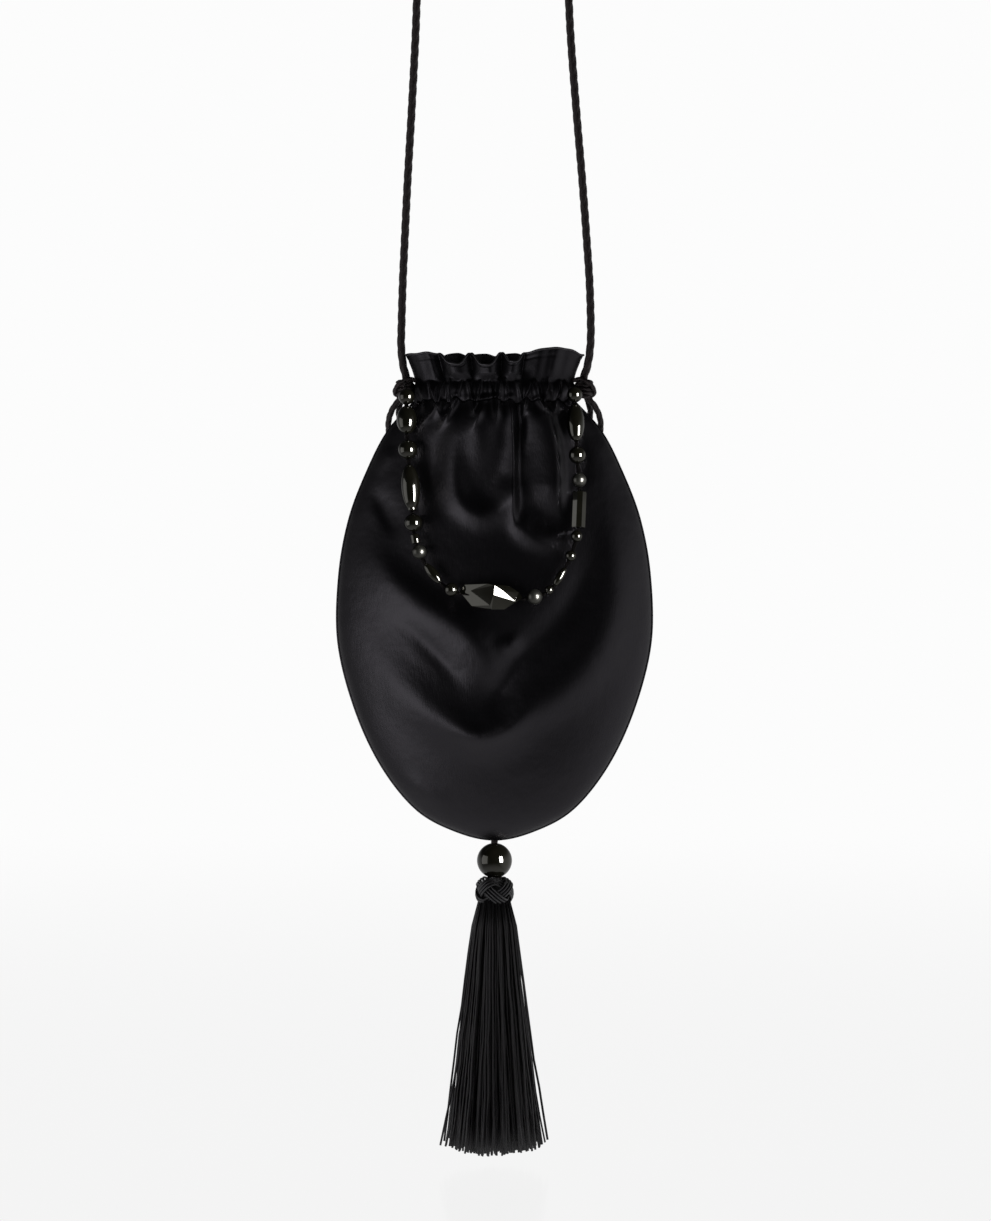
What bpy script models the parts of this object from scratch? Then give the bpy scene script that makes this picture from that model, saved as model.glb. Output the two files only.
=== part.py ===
"""Silk drawstring pouch with a beaded handle, a shoulder cord and a tassel.

Metres, +Z up, the front faces -Y. The pouch hangs by its shoulder cord, and the
origin is the underside of the cord's top bend. Shares in the tables are of the
named sizes beside them.
"""

import math
from collections import namedtuple

import bmesh
import bpy
from mathutils import Vector

# Clearance between pieces that touch
GAP = 0.0003

# Silk bag
POUCH_WIDTH = 0.180
POUCH_DEPTH = 0.050
BODY_HEIGHT = 0.250
CASING_HEIGHT = 0.0140
FRILL_HEIGHT = 0.0130
NECK_WIDTH = 0.0835
NECK_DEPTH = 0.0280
FRILL_WIDTH = 0.0920
FRILL_DEPTH = 0.0300
CLOTH_THICKNESS = 0.0012
GATHER_DEPTH = 0.0042
GATHER_COUNT = 12
POUCH_COLUMNS = 60
RIM_DIP = 0.0030
CASING_SWELL = 0.0014
CASING_GATHER = 0.50

# Cords
HANG_DROP = 0.3440
STRAP_DIAMETER = 0.0040
DRAWSTRING_DIAMETER = 0.0030
THREAD_DIAMETER = 0.0010
THREAD_RISE = 0.0022
STRAP_STEP = 3.0 * STRAP_DIAMETER
DRAWSTRING_STEP = 2.2 * DRAWSTRING_DIAMETER
KNOT_WIDTH = 0.0110
KNOT_HEIGHT = 0.0125
KNOT_WRAPS = 3
KNOT_SIDES = 10

# Beads
BEAD_BORE = 0.0018
BEAD_SIDES = 10
NUGGET_DEPTH = 0.0130

# Tassel
TASSEL_CORD_DIAMETER = 0.0040
TASSEL_BEAD_DIAMETER = 0.0200
TASSEL_BEAD_DROP = 0.0020
COLLAR_WIDTH = 0.0104
COLLAR_CORD = 0.0022
HEAD_WIDTH = 0.0214
HEAD_HEIGHT = 0.0150
FRINGE_WIDTH = 0.0525
FRINGE_LENGTH = 0.1420
FRINGE_LOCKS = 16
FRINGE_RAGGED = 0.0035

CASING_Z = -HANG_DROP
CASING_TOP_Z = CASING_Z + CASING_HEIGHT / 2
CASING_LOW_Z = CASING_Z - CASING_HEIGHT / 2
POUCH_TIP_Z = CASING_LOW_Z - BODY_HEIGHT
CASING_REACH = NECK_WIDTH / 2 + CASING_SWELL + CASING_GATHER * GATHER_DEPTH
KNOT_X = CASING_REACH + GAP + KNOT_WIDTH / 2

# Rings of the body, from the lower casing stitch down to the point. Level is a
# share of BODY_HEIGHT. The width is neck * NECK_WIDTH + width * POUCH_WIDTH, and
# the depth is neck * NECK_DEPTH + depth * POUCH_DEPTH. Pinch sharpens the side
# seams, and gather is a share of GATHER_DEPTH.
Ring = namedtuple("Ring", "level neck width depth pinch gather")
BODY_RINGS = (
    Ring(0.00, 1.00, 0.000, 0.000, 1.00, 0.40),
    Ring(0.07, 0.67, 0.330, 0.235, 1.05, 0.62),
    Ring(0.16, 0.40, 0.600, 0.460, 1.15, 0.38),
    Ring(0.27, 0.17, 0.832, 0.700, 1.25, 0.16),
    Ring(0.40, 0.02, 0.972, 0.900, 1.30, 0.04),
    Ring(0.55, 0.00, 0.988, 1.000, 1.30, 0.00),
    Ring(0.70, 0.00, 0.884, 0.930, 1.28, 0.00),
    Ring(0.83, 0.00, 0.718, 0.730, 1.22, 0.00),
    Ring(0.93, 0.00, 0.496, 0.460, 1.15, 0.00),
    Ring(0.98, 0.00, 0.248, 0.230, 1.12, 0.00),
    Ring(1.00, 0.00, 0.000, 0.000, 1.10, 0.00),
)
RING_STEPS = 2

# Rings of the casing and the frill, from the rim down. Rise is a share of
# FRILL_HEIGHT above the casing, or of CASING_HEIGHT for the band itself, and
# flare blends the neck's size into the frill's.
Band = namedtuple("Band", "frill casing flare swell gather dip")
BAND_RINGS = (
    Band(1.00, 1.00, 1.00, 0.0, 1.00, 1.0),
    Band(0.45, 1.00, 0.60, 0.0, 0.85, 0.3),
    Band(0.00, 1.00, 0.00, 0.0, 0.35, 0.0),
    Band(0.00, 0.50, 0.00, CASING_SWELL, CASING_GATHER, 0.0),
)

# Folds of the two panels, each a soft ridge along a line. Across is a share of
# half the POUCH_WIDTH, down a share of BODY_HEIGHT, rise and spread are lengths.
Fold = namedtuple("Fold", "across0 down0 across1 down1 rise spread")
FRONT_FOLDS = (
    Fold(-0.25, 0.02, -0.19, 0.23, 0.0036, 0.0075),
    Fold(-0.19, 0.23, 0.00, 0.35, 0.0042, 0.0100),
    Fold(0.00, 0.35, 0.13, 0.22, 0.0030, 0.0090),
    Fold(0.14, 0.00, 0.15, 0.24, 0.0040, 0.0070),
    Fold(0.18, 0.24, 0.42, 0.38, 0.0044, 0.0100),
    Fold(0.42, 0.38, 0.55, 0.30, 0.0026, 0.0110),
    Fold(-0.02, 0.06, -0.02, 0.24, -0.0040, 0.0110),
    Fold(-0.76, 0.45, -0.36, 0.65, 0.0042, 0.0110),
    Fold(-0.36, 0.65, -0.10, 0.76, 0.0044, 0.0110),
    Fold(-0.10, 0.76, 0.42, 0.66, 0.0040, 0.0120),
    Fold(0.42, 0.66, 0.80, 0.38, 0.0044, 0.0120),
    Fold(-0.30, 0.50, 0.30, 0.50, -0.0036, 0.0200),
)
BACK_FOLDS = (
    Fold(0.30, 0.02, 0.16, 0.30, 0.0028, 0.0085),
    Fold(-0.22, 0.02, -0.10, 0.32, 0.0028, 0.0085),
    Fold(-0.70, 0.42, -0.10, 0.68, 0.0028, 0.0130),
    Fold(-0.10, 0.68, 0.62, 0.48, 0.0026, 0.0130),
)

# Route of the shoulder cord's centre line, left knot to right knot: x and z
STRAP_ROUTE = (
    (-0.0502, -0.3372), (-0.0522, -0.3300), (-0.0532, -0.3200), (-0.0530, -0.3080),
    (-0.0523, -0.2840), (-0.0512, -0.2600), (-0.0495, -0.2250), (-0.0472, -0.1850),
    (-0.0449, -0.1400), (-0.0436, -0.1000), (-0.0418, -0.0650), (-0.0378, -0.0350),
    (-0.0290, -0.0120), (-0.0155, -0.0010), (0.0000, 0.0020), (0.0150, -0.0012),
    (0.0278, -0.0125), (0.0360, -0.0350), (0.0396, -0.0650), (0.0415, -0.1000),
    (0.0432, -0.1400), (0.0466, -0.1850), (0.0500, -0.2250), (0.0526, -0.2600),
    (0.0542, -0.2840), (0.0549, -0.3080), (0.0546, -0.3200), (0.0532, -0.3300),
    (0.0508, -0.3372),
)

# Route of a drawstring loop, out from its knot, behind the bag and back to the
# knot: distance out from the middle, y and z
LOOP_ROUTE = (
    (0.0540, -0.0010, -0.3508), (0.0568, -0.0002, -0.3536), (0.0592, 0.0020, -0.3578),
    (0.0606, 0.0052, -0.3630), (0.0604, 0.0090, -0.3690), (0.0584, 0.0122, -0.3755),
    (0.0552, 0.0146, -0.3830), (0.0520, 0.0164, -0.3910), (0.0494, 0.0178, -0.3990),
    (0.0470, 0.0190, -0.4060), (0.0430, 0.0198, -0.4100), (0.0390, 0.0200, -0.4070),
    (0.0382, 0.0196, -0.4000), (0.0402, 0.0186, -0.3915), (0.0440, 0.0172, -0.3825),
    (0.0485, 0.0152, -0.3740), (0.0526, 0.0122, -0.3665), (0.0546, 0.0086, -0.3600),
    (0.0545, 0.0052, -0.3548), (0.0522, 0.0030, -0.3512),
)

# Route of the beaded handle, left to right: x and z. The thread ties to the
# knots at its two ends.
HANDLE_ROUTE = (
    (-0.0498, -0.3450), (-0.0499, -0.3560), (-0.0496, -0.3690), (-0.0488, -0.3830),
    (-0.0472, -0.4010), (-0.0460, -0.4200), (-0.0440, -0.4330), (-0.0400, -0.4430),
    (-0.0325, -0.4530), (-0.0225, -0.4600), (-0.0010, -0.4655), (0.0200, -0.4638),
    (0.0310, -0.4590), (0.0375, -0.4510), (0.0430, -0.4395), (0.0465, -0.4280),
    (0.0480, -0.4130), (0.0477, -0.3960), (0.0465, -0.3820), (0.0459, -0.3660),
    (0.0455, -0.3540), (0.0453, -0.3440),
)

# Beads in order, left to right: knot is the share of thread left before the next
Bead = namedtuple("Bead", "form length diameter knot")
BEADS = (
    Bead("round", 0.0091, 0.0091, 1.3),
    Bead("oval", 0.0168, 0.0114, 6.0),
    Bead("round", 0.0110, 0.0110, 4.4),
    Bead("oval", 0.0268, 0.0108, 2.5),
    Bead("round", 0.0103, 0.0103, 2.2),
    Bead("tube", 0.0051, 0.0051, 1.6),
    Bead("round", 0.0082, 0.0082, 5.2),
    Bead("oval", 0.0142, 0.0057, 5.0),
    Bead("round", 0.0077, 0.0077, 2.6),
    Bead("nugget", 0.0357, 0.0148, 3.8),
    Bead("round", 0.0088, 0.0088, 3.6),
    Bead("round", 0.0051, 0.0051, 2.0),
    Bead("oval", 0.0122, 0.0045, 6.2),
    Bead("round", 0.0062, 0.0062, 8.0),
    Bead("round", 0.0066, 0.0066, 2.5),
    Bead("tube", 0.0205, 0.0081, 3.8),
    Bead("round", 0.0082, 0.0082, 8.0),
    Bead("round", 0.0097, 0.0097, 4.8),
    Bead("oval", 0.0228, 0.0100, 1.3),
    Bead("round", 0.0088, 0.0088, 0.0),
)
HANDLE_LIFT = 0.0022

# Facets cut on the nugget while it is a cube from -1 to 1: the facet's direction,
# with along to the right, across to the back and height up, and its distance from
# the middle
Facet = namedtuple("Facet", "along across height reach")
NUGGET_FACETS = (
    Facet(0.05, -0.80, 0.60, 0.78),
    Facet(-0.30, -0.95, -0.20, 0.72),
    Facet(0.35, -0.90, -0.30, 0.74),
    Facet(0.10, -0.35, -1.00, 0.82),
    Facet(-0.75, -0.55, 0.45, 0.70),
    Facet(-0.85, -0.30, -0.50, 0.74),
    Facet(0.85, -0.45, 0.35, 0.72),
    Facet(0.80, -0.25, -0.55, 0.74),
    Facet(-0.15, 0.75, 0.70, 0.76),
    Facet(0.25, 0.85, -0.60, 0.76),
    Facet(-0.80, 0.50, 0.40, 0.72),
    Facet(-0.75, 0.55, -0.45, 0.74),
    Facet(0.82, 0.55, 0.35, 0.74),
    Facet(0.78, 0.50, -0.50, 0.72),
    Facet(0.55, 0.10, 0.90, 0.82),
    Facet(-0.50, 0.05, 0.95, 0.84),
)

# Outline of the fringe: shares of FRINGE_LENGTH and of half the FRINGE_WIDTH
FRINGE_OUTLINE = (
    (0.00, 0.34), (0.05, 0.42), (0.14, 0.52), (0.30, 0.62),
    (0.50, 0.73), (0.72, 0.85), (0.88, 0.93), (1.00, 1.00),
)
LOCK_COLUMNS = 3
LOCK_GROOVE = 0.12


def clear_scene():
    """Remove what the file opened with."""
    for item in list(bpy.data.objects):
        bpy.data.objects.remove(item)


def new_collection(name):
    """Add a collection to the scene."""
    collection = bpy.data.collections.new(name)
    bpy.context.scene.collection.children.link(collection)
    return collection


def new_material(name, colour, roughness, metallic=0.0):
    """A Principled material of one colour."""
    material = bpy.data.materials.new(name)
    material.use_nodes = True
    shader = material.node_tree.nodes["Principled BSDF"]
    shader.inputs["Base Color"].default_value = (*colour, 1.0)
    shader.inputs["Roughness"].default_value = roughness
    shader.inputs["Metallic"].default_value = metallic
    return material


def add_part(name, data, material, collection, parent):
    """Put mesh or curve data in the scene as one named part."""
    part = bpy.data.objects.new(name, data)
    data.materials.append(material)
    collection.objects.link(part)
    part.parent = parent
    return part


def smooth_rows(rows, steps, mirrored_end=False):
    """Rows of numbers on a Catmull-Rom curve through the given rows.

    With mirrored_end, the curve meets the last row as if its second and third
    columns ran on through zero, which rounds a closed tip.
    """
    first = [2 * a - b for a, b in zip(rows[0], rows[1])]
    last = [2 * a - b for a, b in zip(rows[-1], rows[-2])]
    if mirrored_end:
        last[0] = rows[-2][0]
    padded = [first, *rows, last]
    result = []
    for index in range(1, len(padded) - 2):
        p0, p1, p2, p3 = padded[index - 1:index + 3]
        for step in range(steps):
            t = step / steps
            result.append([
                0.5 * (2 * b + (c - a) * t + (2 * a - 5 * b + 4 * c - d) * t * t
                       + (3 * b - a - 3 * c + d) * t ** 3)
                for a, b, c, d in zip(p0, p1, p2, p3)
            ])
    result.append(list(rows[-1]))
    return result


def running_lengths(points):
    """Length along a polyline at each of its points."""
    lengths = [0.0]
    for a, b in zip(points, points[1:]):
        lengths.append(lengths[-1] + (b - a).length)
    return lengths


def evenly_spaced(points, spacing):
    """Points at an even spacing along a dense polyline."""
    lengths = running_lengths(points)
    count = max(2, round(lengths[-1] / spacing))
    return [point_at(points, lengths, lengths[-1] * i / count) for i in range(count + 1)]


def point_at(points, lengths, distance):
    """Point of a polyline at a distance along it."""
    for index in range(1, len(points)):
        if distance <= lengths[index] or index == len(points) - 1:
            span = lengths[index] - lengths[index - 1]
            share = (distance - lengths[index - 1]) / span
            return points[index - 1].lerp(points[index], share)
    return points[-1]


def fold_offset(folds, x, down):
    """How far the folds push a panel out at a place on it."""
    place = Vector((x, down * BODY_HEIGHT))
    offset = 0.0
    for fold in folds:
        start = Vector((fold.across0 * POUCH_WIDTH / 2, fold.down0 * BODY_HEIGHT))
        end = Vector((fold.across1 * POUCH_WIDTH / 2, fold.down1 * BODY_HEIGHT))
        line = end - start
        share = min(1.0, max(0.0, (place - start).dot(line) / line.length_squared))
        distance = (place - start - share * line).length
        offset += fold.rise * math.exp(-(distance / fold.spread) ** 2)
    return offset


def ring_point(turn, half_width, half_depth, pinch, gather):
    """Point of a ring at a turn from 0 to 1, from the right seam round the back."""
    half = (turn * 2) % 1.0
    across = 0.5 * math.cos(math.pi * half) + 0.5 * (1 - 2 * half)
    rise = math.sqrt(max(0.0, 1 - across * across)) ** pinch
    side = 1 if turn < 0.5 else -1
    x = side * across * half_width
    y = side * rise * half_depth
    normal = Vector((x / half_width ** 2, y / half_depth ** 2)).normalized()
    wave = GATHER_DEPTH * gather * math.cos(2 * math.pi * GATHER_COUNT * turn)
    return x + normal.x * wave, y + normal.y * wave, wave


def body_size(row):
    """Half width and half depth of a body ring."""
    half_width = (row[1] * NECK_WIDTH + row[2] * POUCH_WIDTH) / 2
    half_depth = (row[1] * NECK_DEPTH + row[3] * POUCH_DEPTH) / 2
    return half_width, half_depth


def body_rows():
    """The body's rings on a smooth profile, with a rounded point."""
    return smooth_rows(BODY_RINGS, RING_STEPS, mirrored_end=True)


def front_y(x, z, rows):
    """The front panel's y at a place, without its gathers and folds."""
    level = min(rows[-2][0], max(0.0, (CASING_LOW_Z - z) / BODY_HEIGHT))
    for upper, lower in zip(rows, rows[1:]):
        if level <= lower[0]:
            share = (level - upper[0]) / (lower[0] - upper[0])
            row = [a + (b - a) * share for a, b in zip(upper, lower)]
            break
    half_width, half_depth = body_size(row)
    across = min(0.97, abs(x) / half_width)
    return -half_depth * math.sqrt(1 - across * across) ** row[4]


def pouch_rings():
    """Rings of the silk bag from the rim to the ring above its point."""
    rings = []
    for band in BAND_RINGS:
        z = CASING_LOW_Z + band.casing * CASING_HEIGHT + band.frill * FRILL_HEIGHT
        half_width = (NECK_WIDTH + (FRILL_WIDTH - NECK_WIDTH) * band.flare) / 2 + band.swell
        half_depth = (NECK_DEPTH + (FRILL_DEPTH - NECK_DEPTH) * band.flare) / 2 + band.swell
        ring = []
        for column in range(POUCH_COLUMNS):
            turn = column / POUCH_COLUMNS
            x, y, wave = ring_point(turn, half_width, half_depth, 1.0, band.gather)
            dip = RIM_DIP * band.dip * max(0.0, wave) / GATHER_DEPTH
            ring.append((x, y, z - dip))
        rings.append(ring)
    for row in body_rows()[:-1]:
        level, _, _, _, pinch, gather = row
        half_width, half_depth = body_size(row)
        ring = []
        for column in range(POUCH_COLUMNS):
            turn = column / POUCH_COLUMNS
            x, y, _ = ring_point(turn, half_width, half_depth, pinch, gather)
            folds = BACK_FOLDS if turn < 0.5 else FRONT_FOLDS
            outward = min(1.0, max(-1.0, y / half_depth))
            y += outward * fold_offset(folds, x, level)
            ring.append((x, y, CASING_LOW_Z - level * BODY_HEIGHT))
        rings.append(ring)
    return rings


def loft_mesh(name, rings, top_point=None, bottom_point=None):
    """A mesh of quads between rings, closed to a point where one is given."""
    mesh = bmesh.new()
    loops = [[mesh.verts.new(point) for point in ring] for ring in rings]
    for upper, lower in zip(loops, loops[1:]):
        for a in range(len(upper)):
            b = (a + 1) % len(upper)
            mesh.faces.new((upper[a], lower[a], lower[b], upper[b]))
    for point, loop, flip in ((top_point, loops[0], False), (bottom_point, loops[-1], True)):
        if point is None:
            continue
        pole = mesh.verts.new(point)
        for a in range(len(loop)):
            pair = (loop[(a + 1) % len(loop)], loop[a])
            mesh.faces.new((pole, *(pair if flip else reversed(pair))))
    data = bpy.data.meshes.new(name)
    bmesh.ops.recalc_face_normals(mesh, faces=mesh.faces)
    mesh.to_mesh(data)
    mesh.free()
    return data


def build_pouch(collection, parent):
    """The silk bag: an open lofted sheet given its thickness."""
    tip = (0.0, 0.0, POUCH_TIP_Z)
    data = loft_mesh("pouch", pouch_rings(), bottom_point=tip)
    silk = new_material("black_satin", (0.012, 0.011, 0.013), 0.38)
    pouch = add_part("pouch", data, silk, collection, parent)
    shell = pouch.modifiers.new("cloth", "SOLIDIFY")
    shell.thickness = CLOTH_THICKNESS
    shell.offset = -1.0
    data.shade_smooth()
    return pouch


def add_cord(name, points, diameter, material, collection, parent):
    """A round cord on a poly spline through the points."""
    curve = bpy.data.curves.new(name, "CURVE")
    curve.dimensions = "3D"
    curve.bevel_depth = diameter / 2
    curve.bevel_resolution = 2
    curve.use_fill_caps = True
    spline = curve.splines.new("POLY")
    spline.points.add(len(points) - 1)
    for place, point in zip(spline.points, points):
        place.co = (*point, 1.0)
    return add_part(name, curve, material, collection, parent)


def build_strap(collection, parent, material):
    """The shoulder cord, a whole loop from knot to knot."""
    route = [Vector((x, 0.0, z)) for x, z in smooth_rows(STRAP_ROUTE, 6)]
    points = evenly_spaced(route, STRAP_STEP)
    add_cord("shoulder_cord", points, STRAP_DIAMETER, material, collection, parent)


def build_loops(collection, parent, material):
    """The two drawstring loops, mirrored left and right."""
    for name, side in (("left", -1), ("right", 1)):
        route = [Vector((side * out, y, z)) for out, y, z in smooth_rows(LOOP_ROUTE, 6)]
        points = evenly_spaced(route, DRAWSTRING_STEP)
        add_cord(f"drawstring_loop_{name}", points, DRAWSTRING_DIAMETER,
                 material, collection, parent)


def add_turned(name, profile, steps, material, collection, parent, bored=False):
    """A turned piece. The profile holds (radius, height) down its outer side.

    A bored profile comes back up the wall of its bore, and any other one starts
    and ends on the axis.
    """
    data = bpy.data.meshes.new(name)
    count = len(profile)
    edges = [(i, i + 1) for i in range(count - 1)]
    if bored:
        edges.append((count - 1, 0))
    data.from_pydata([(radius, 0.0, height) for radius, height in profile], edges, [])
    piece = add_part(name, data, material, collection, parent)
    screw = piece.modifiers.new("turn", "SCREW")
    screw.steps = steps
    screw.render_steps = steps
    screw.use_merge_vertices = True
    screw.merge_threshold = 0.00001
    screw.use_smooth_shade = True
    return piece


def build_knots(collection, parent, material):
    """The two side knots: cord wound round, as a barrel with a rib a wrap."""
    profile = [(0.0, KNOT_HEIGHT / 2)]
    wrap_height = KNOT_HEIGHT / KNOT_WRAPS
    for wrap in range(KNOT_WRAPS):
        middle = KNOT_HEIGHT / 2 - (wrap + 0.5) * wrap_height
        bulge = math.sqrt(1 - (1.5 * middle / KNOT_HEIGHT) ** 2)
        for rise, reach in ((0.36, 0.80), (0.0, 1.0), (-0.36, 0.80)):
            profile.append((KNOT_WIDTH / 2 * bulge * reach, middle + rise * wrap_height))
    profile.append((0.0, -KNOT_HEIGHT / 2))
    for name, side in (("left", -1), ("right", 1)):
        knot = add_turned(f"side_knot_{name}", profile, KNOT_SIDES, material, collection, parent)
        knot.location = (side * KNOT_X, 0.0, CASING_Z)


def bead_profile(bead):
    """Outer side of a bored bead, top to bottom, with its bore's two edges."""
    bore = BEAD_BORE / 2
    half = bead.length / 2
    radius = bead.diameter / 2
    if bead.form == "tube":
        edge = 0.10 * bead.diameter
        return [(bore, half), (radius - edge, half), (radius, half - edge),
                (radius, edge - half), (radius - edge, -half), (bore, -half)]
    top = half * math.sqrt(1 - (bore / radius) ** 2)
    profile = [(bore, top)]
    for angle in (52, 90, 128):
        turn = math.radians(angle)
        profile.append((radius * math.sin(turn), half * math.cos(turn)))
    profile.append((bore, -top))
    return profile


def handle_points():
    """Dense centre line of the beaded handle, in front of the silk."""
    thickest = max(bead.diameter for bead in BEADS)
    rows = body_rows()
    route = []
    for x, z in smooth_rows(HANDLE_ROUTE, 8):
        clear = front_y(x, z, rows) - thickest / 2 - HANDLE_LIFT
        route.append(Vector((x, clear, z)))
    return route


def bead_ends():
    """Where each bead's bore starts and ends along the handle."""
    route = handle_points()
    lengths = running_lengths(route)
    spare = lengths[-1] - sum(bead.length for bead in BEADS)
    shares = sum(bead.knot for bead in BEADS)
    ends = []
    reached = 0.0
    for bead in BEADS:
        ends.append((point_at(route, lengths, reached),
                     point_at(route, lengths, reached + bead.length)))
        reached += bead.length + spare * bead.knot / shares
    return ends


def build_beads(collection, cutters, parent):
    """The drilled beads of the handle, each along its own stretch of thread."""
    polished = new_material("polished_bead", (0.010, 0.010, 0.009), 0.06)
    for number, (bead, (start, end)) in enumerate(zip(BEADS, bead_ends()), 1):
        name = f"handle_bead_{number:02d}"
        if bead.form == "nugget":
            piece = build_nugget(name, bead, polished, collection, cutters, parent)
        else:
            piece = add_turned(name, bead_profile(bead), BEAD_SIDES, polished,
                               collection, parent, bored=True)
        piece.location = (start + end) / 2
        piece.rotation_mode = "QUATERNION"
        piece.rotation_quaternion = (start - end).to_track_quat("Z", "Y")


def build_nugget(name, bead, material, collection, cutters, parent):
    """The cut nugget: a block with its facets sliced off, drilled lengthwise."""
    block = bmesh.new()
    bmesh.ops.create_cube(block, size=2.0)
    for facet in NUGGET_FACETS:
        out = Vector((-facet.across, facet.height, -facet.along)).normalized()
        cut = bmesh.ops.bisect_plane(
            block, geom=[*block.verts, *block.edges, *block.faces],
            plane_co=out * facet.reach, plane_no=out, clear_outer=True)
        rim = [item for item in cut["geom_cut"] if isinstance(item, bmesh.types.BMEdge)]
        bmesh.ops.contextual_create(block, geom=rim)
    half = Vector((NUGGET_DEPTH / 2, bead.diameter / 2, bead.length / 2))
    bmesh.ops.scale(block, vec=half, verts=block.verts)
    bmesh.ops.recalc_face_normals(block, faces=block.faces)
    data = bpy.data.meshes.new(name)
    block.to_mesh(data)
    block.free()
    nugget = add_part(name, data, material, collection, parent)
    drill = add_drill(f"{name}_drill", BEAD_BORE, bead.length * 1.2, cutters, nugget)
    bore = nugget.modifiers.new("bore", "BOOLEAN")
    bore.operation = "DIFFERENCE"
    bore.object = drill
    return nugget


def add_drill(name, diameter, length, cutters, parent):
    """A round cutter along its parent's Z."""
    rod = bmesh.new()
    bmesh.ops.create_cone(rod, cap_ends=True, segments=8, radius1=diameter / 2,
                          radius2=diameter / 2, depth=length)
    data = bpy.data.meshes.new(name)
    rod.to_mesh(data)
    rod.free()
    drill = bpy.data.objects.new(name, data)
    cutters.objects.link(drill)
    drill.parent = parent
    drill.hide_render = True
    drill.display_type = "WIRE"
    return drill


def tied_end(inner, side):
    """The thread's last stretch, from the front of a knot over into a bead."""
    tied = Vector((side * KNOT_X, -(KNOT_WIDTH / 2 + GAP), CASING_Z))
    bend = tied.lerp(inner, 0.5)
    bend.z = CASING_Z + THREAD_RISE / 2
    return [tied, bend, inner + Vector((0.0, 0.0, THREAD_RISE))]


def build_thread(collection, parent):
    """The handle's thread: straight in each bead, tied to the knots' fronts."""
    waxed = new_material("waxed_thread", (0.010, 0.010, 0.011), 0.5)
    ends = bead_ends()
    through = [point for pair in ends for point in pair]
    points = [*tied_end(ends[0][0], -1), *through, *reversed(tied_end(ends[-1][1], 1))]
    add_cord("handle_thread", points, THREAD_DIAMETER, waxed, collection, parent)


def round_profile(radius, bore, points=7):
    """Outer side of a bored ball, top to bottom."""
    edge = math.asin(bore / radius)
    profile = []
    for index in range(points):
        turn = edge + (math.pi - 2 * edge) * index / (points - 1)
        profile.append((radius * math.sin(turn), radius * math.cos(turn)))
    return profile


def build_tassel(collection, parent, cord_material):
    """The tassel, hung from the bag's point."""
    polished = new_material("polished_large_bead", (0.010, 0.010, 0.009), 0.06)
    bore = TASSEL_CORD_DIAMETER / 2 + GAP
    ball = TASSEL_BEAD_DIAMETER / 2
    bead = add_turned("tassel_bead", round_profile(ball, bore), 14, polished,
                      collection, parent, bored=True)
    bead_z = -(TASSEL_BEAD_DROP + ball)
    bead.location.z = bead_z

    ring = COLLAR_CORD / 2
    ring_radius = COLLAR_WIDTH / 2 - ring
    reach = ball + ring + GAP
    collar_z = bead_z - math.sqrt(reach ** 2 - ring_radius ** 2)
    profile = []
    for index in range(6):
        turn = math.radians(90 - 60 * index)
        profile.append((ring_radius + ring * math.cos(turn), ring * math.sin(turn)))
    collar = add_turned("tassel_collar", profile, 14, cord_material, collection, parent, bored=True)
    collar.location.z = collar_z

    head_top = collar_z + ring - GAP
    nest = COLLAR_WIDTH / 2 + GAP
    floor = -(COLLAR_CORD + GAP)
    outer = HEAD_WIDTH / 2
    profile = [
        (nest, 0.0), (0.80 * outer, -0.05 * HEAD_HEIGHT), (0.97 * outer, -0.27 * HEAD_HEIGHT),
        (outer, -0.50 * HEAD_HEIGHT), (0.95 * outer, -0.75 * HEAD_HEIGHT),
        (0.78 * outer, -HEAD_HEIGHT), (bore, -HEAD_HEIGHT), (bore, floor), (nest, floor),
    ]
    head = add_turned("tassel_knot", profile, 14, cord_material, collection, parent, bored=True)
    head.location.z = head_top

    fringe_top = head_top - HEAD_HEIGHT - GAP
    cord_points = [Vector((0, 0, -GAP)), Vector((0, 0, fringe_top + GAP))]
    add_cord("tassel_cord", cord_points, TASSEL_CORD_DIAMETER, cord_material, collection, parent)
    build_fringe(fringe_top, collection, parent)


def build_fringe(top, collection, parent):
    """The fringe: locks side by side, fused at their head, with uneven ends."""
    columns = FRINGE_LOCKS * LOCK_COLUMNS
    rings = []
    for level, share in FRINGE_OUTLINE:
        ring = []
        for column in range(columns):
            turn = 2 * math.pi * column / columns
            lock = column // LOCK_COLUMNS
            groove = LOCK_GROOVE * level if column % LOCK_COLUMNS == 0 else 0.0
            radius = FRINGE_WIDTH / 2 * share * (1 - groove)
            ragged = FRINGE_RAGGED * math.sin(2.4 * lock) * level ** 6
            ring.append((radius * math.cos(turn), radius * math.sin(turn),
                         -level * FRINGE_LENGTH + ragged))
        rings.append(ring)
    data = loft_mesh("tassel_fringe", rings, top_point=(0, 0, 0),
                     bottom_point=(0, 0, -FRINGE_LENGTH * 0.985))
    strands = new_material("silk_fringe", (0.012, 0.011, 0.012), 0.55)
    fringe = add_part("tassel_fringe", data, strands, collection, parent)
    fringe.location.z = top


def build_all():
    """Build the silk pouch."""
    clear_scene()
    parts = new_collection("silk_pouch")
    cutters = new_collection("cutters")
    hook = bpy.data.objects.new("hang_point", None)
    parts.objects.link(hook)
    point = bpy.data.objects.new("pouch_point", None)
    parts.objects.link(point)
    point.parent = hook
    point.location.z = POUCH_TIP_Z
    cord_material = new_material("twisted_cord", (0.011, 0.011, 0.012), 0.5)
    build_pouch(parts, hook)
    build_strap(parts, hook, cord_material)
    build_loops(parts, hook, cord_material)
    build_knots(parts, hook, cord_material)
    build_beads(parts, cutters, hook)
    build_thread(parts, hook)
    build_tassel(parts, point, cord_material)


build_all()
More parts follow.
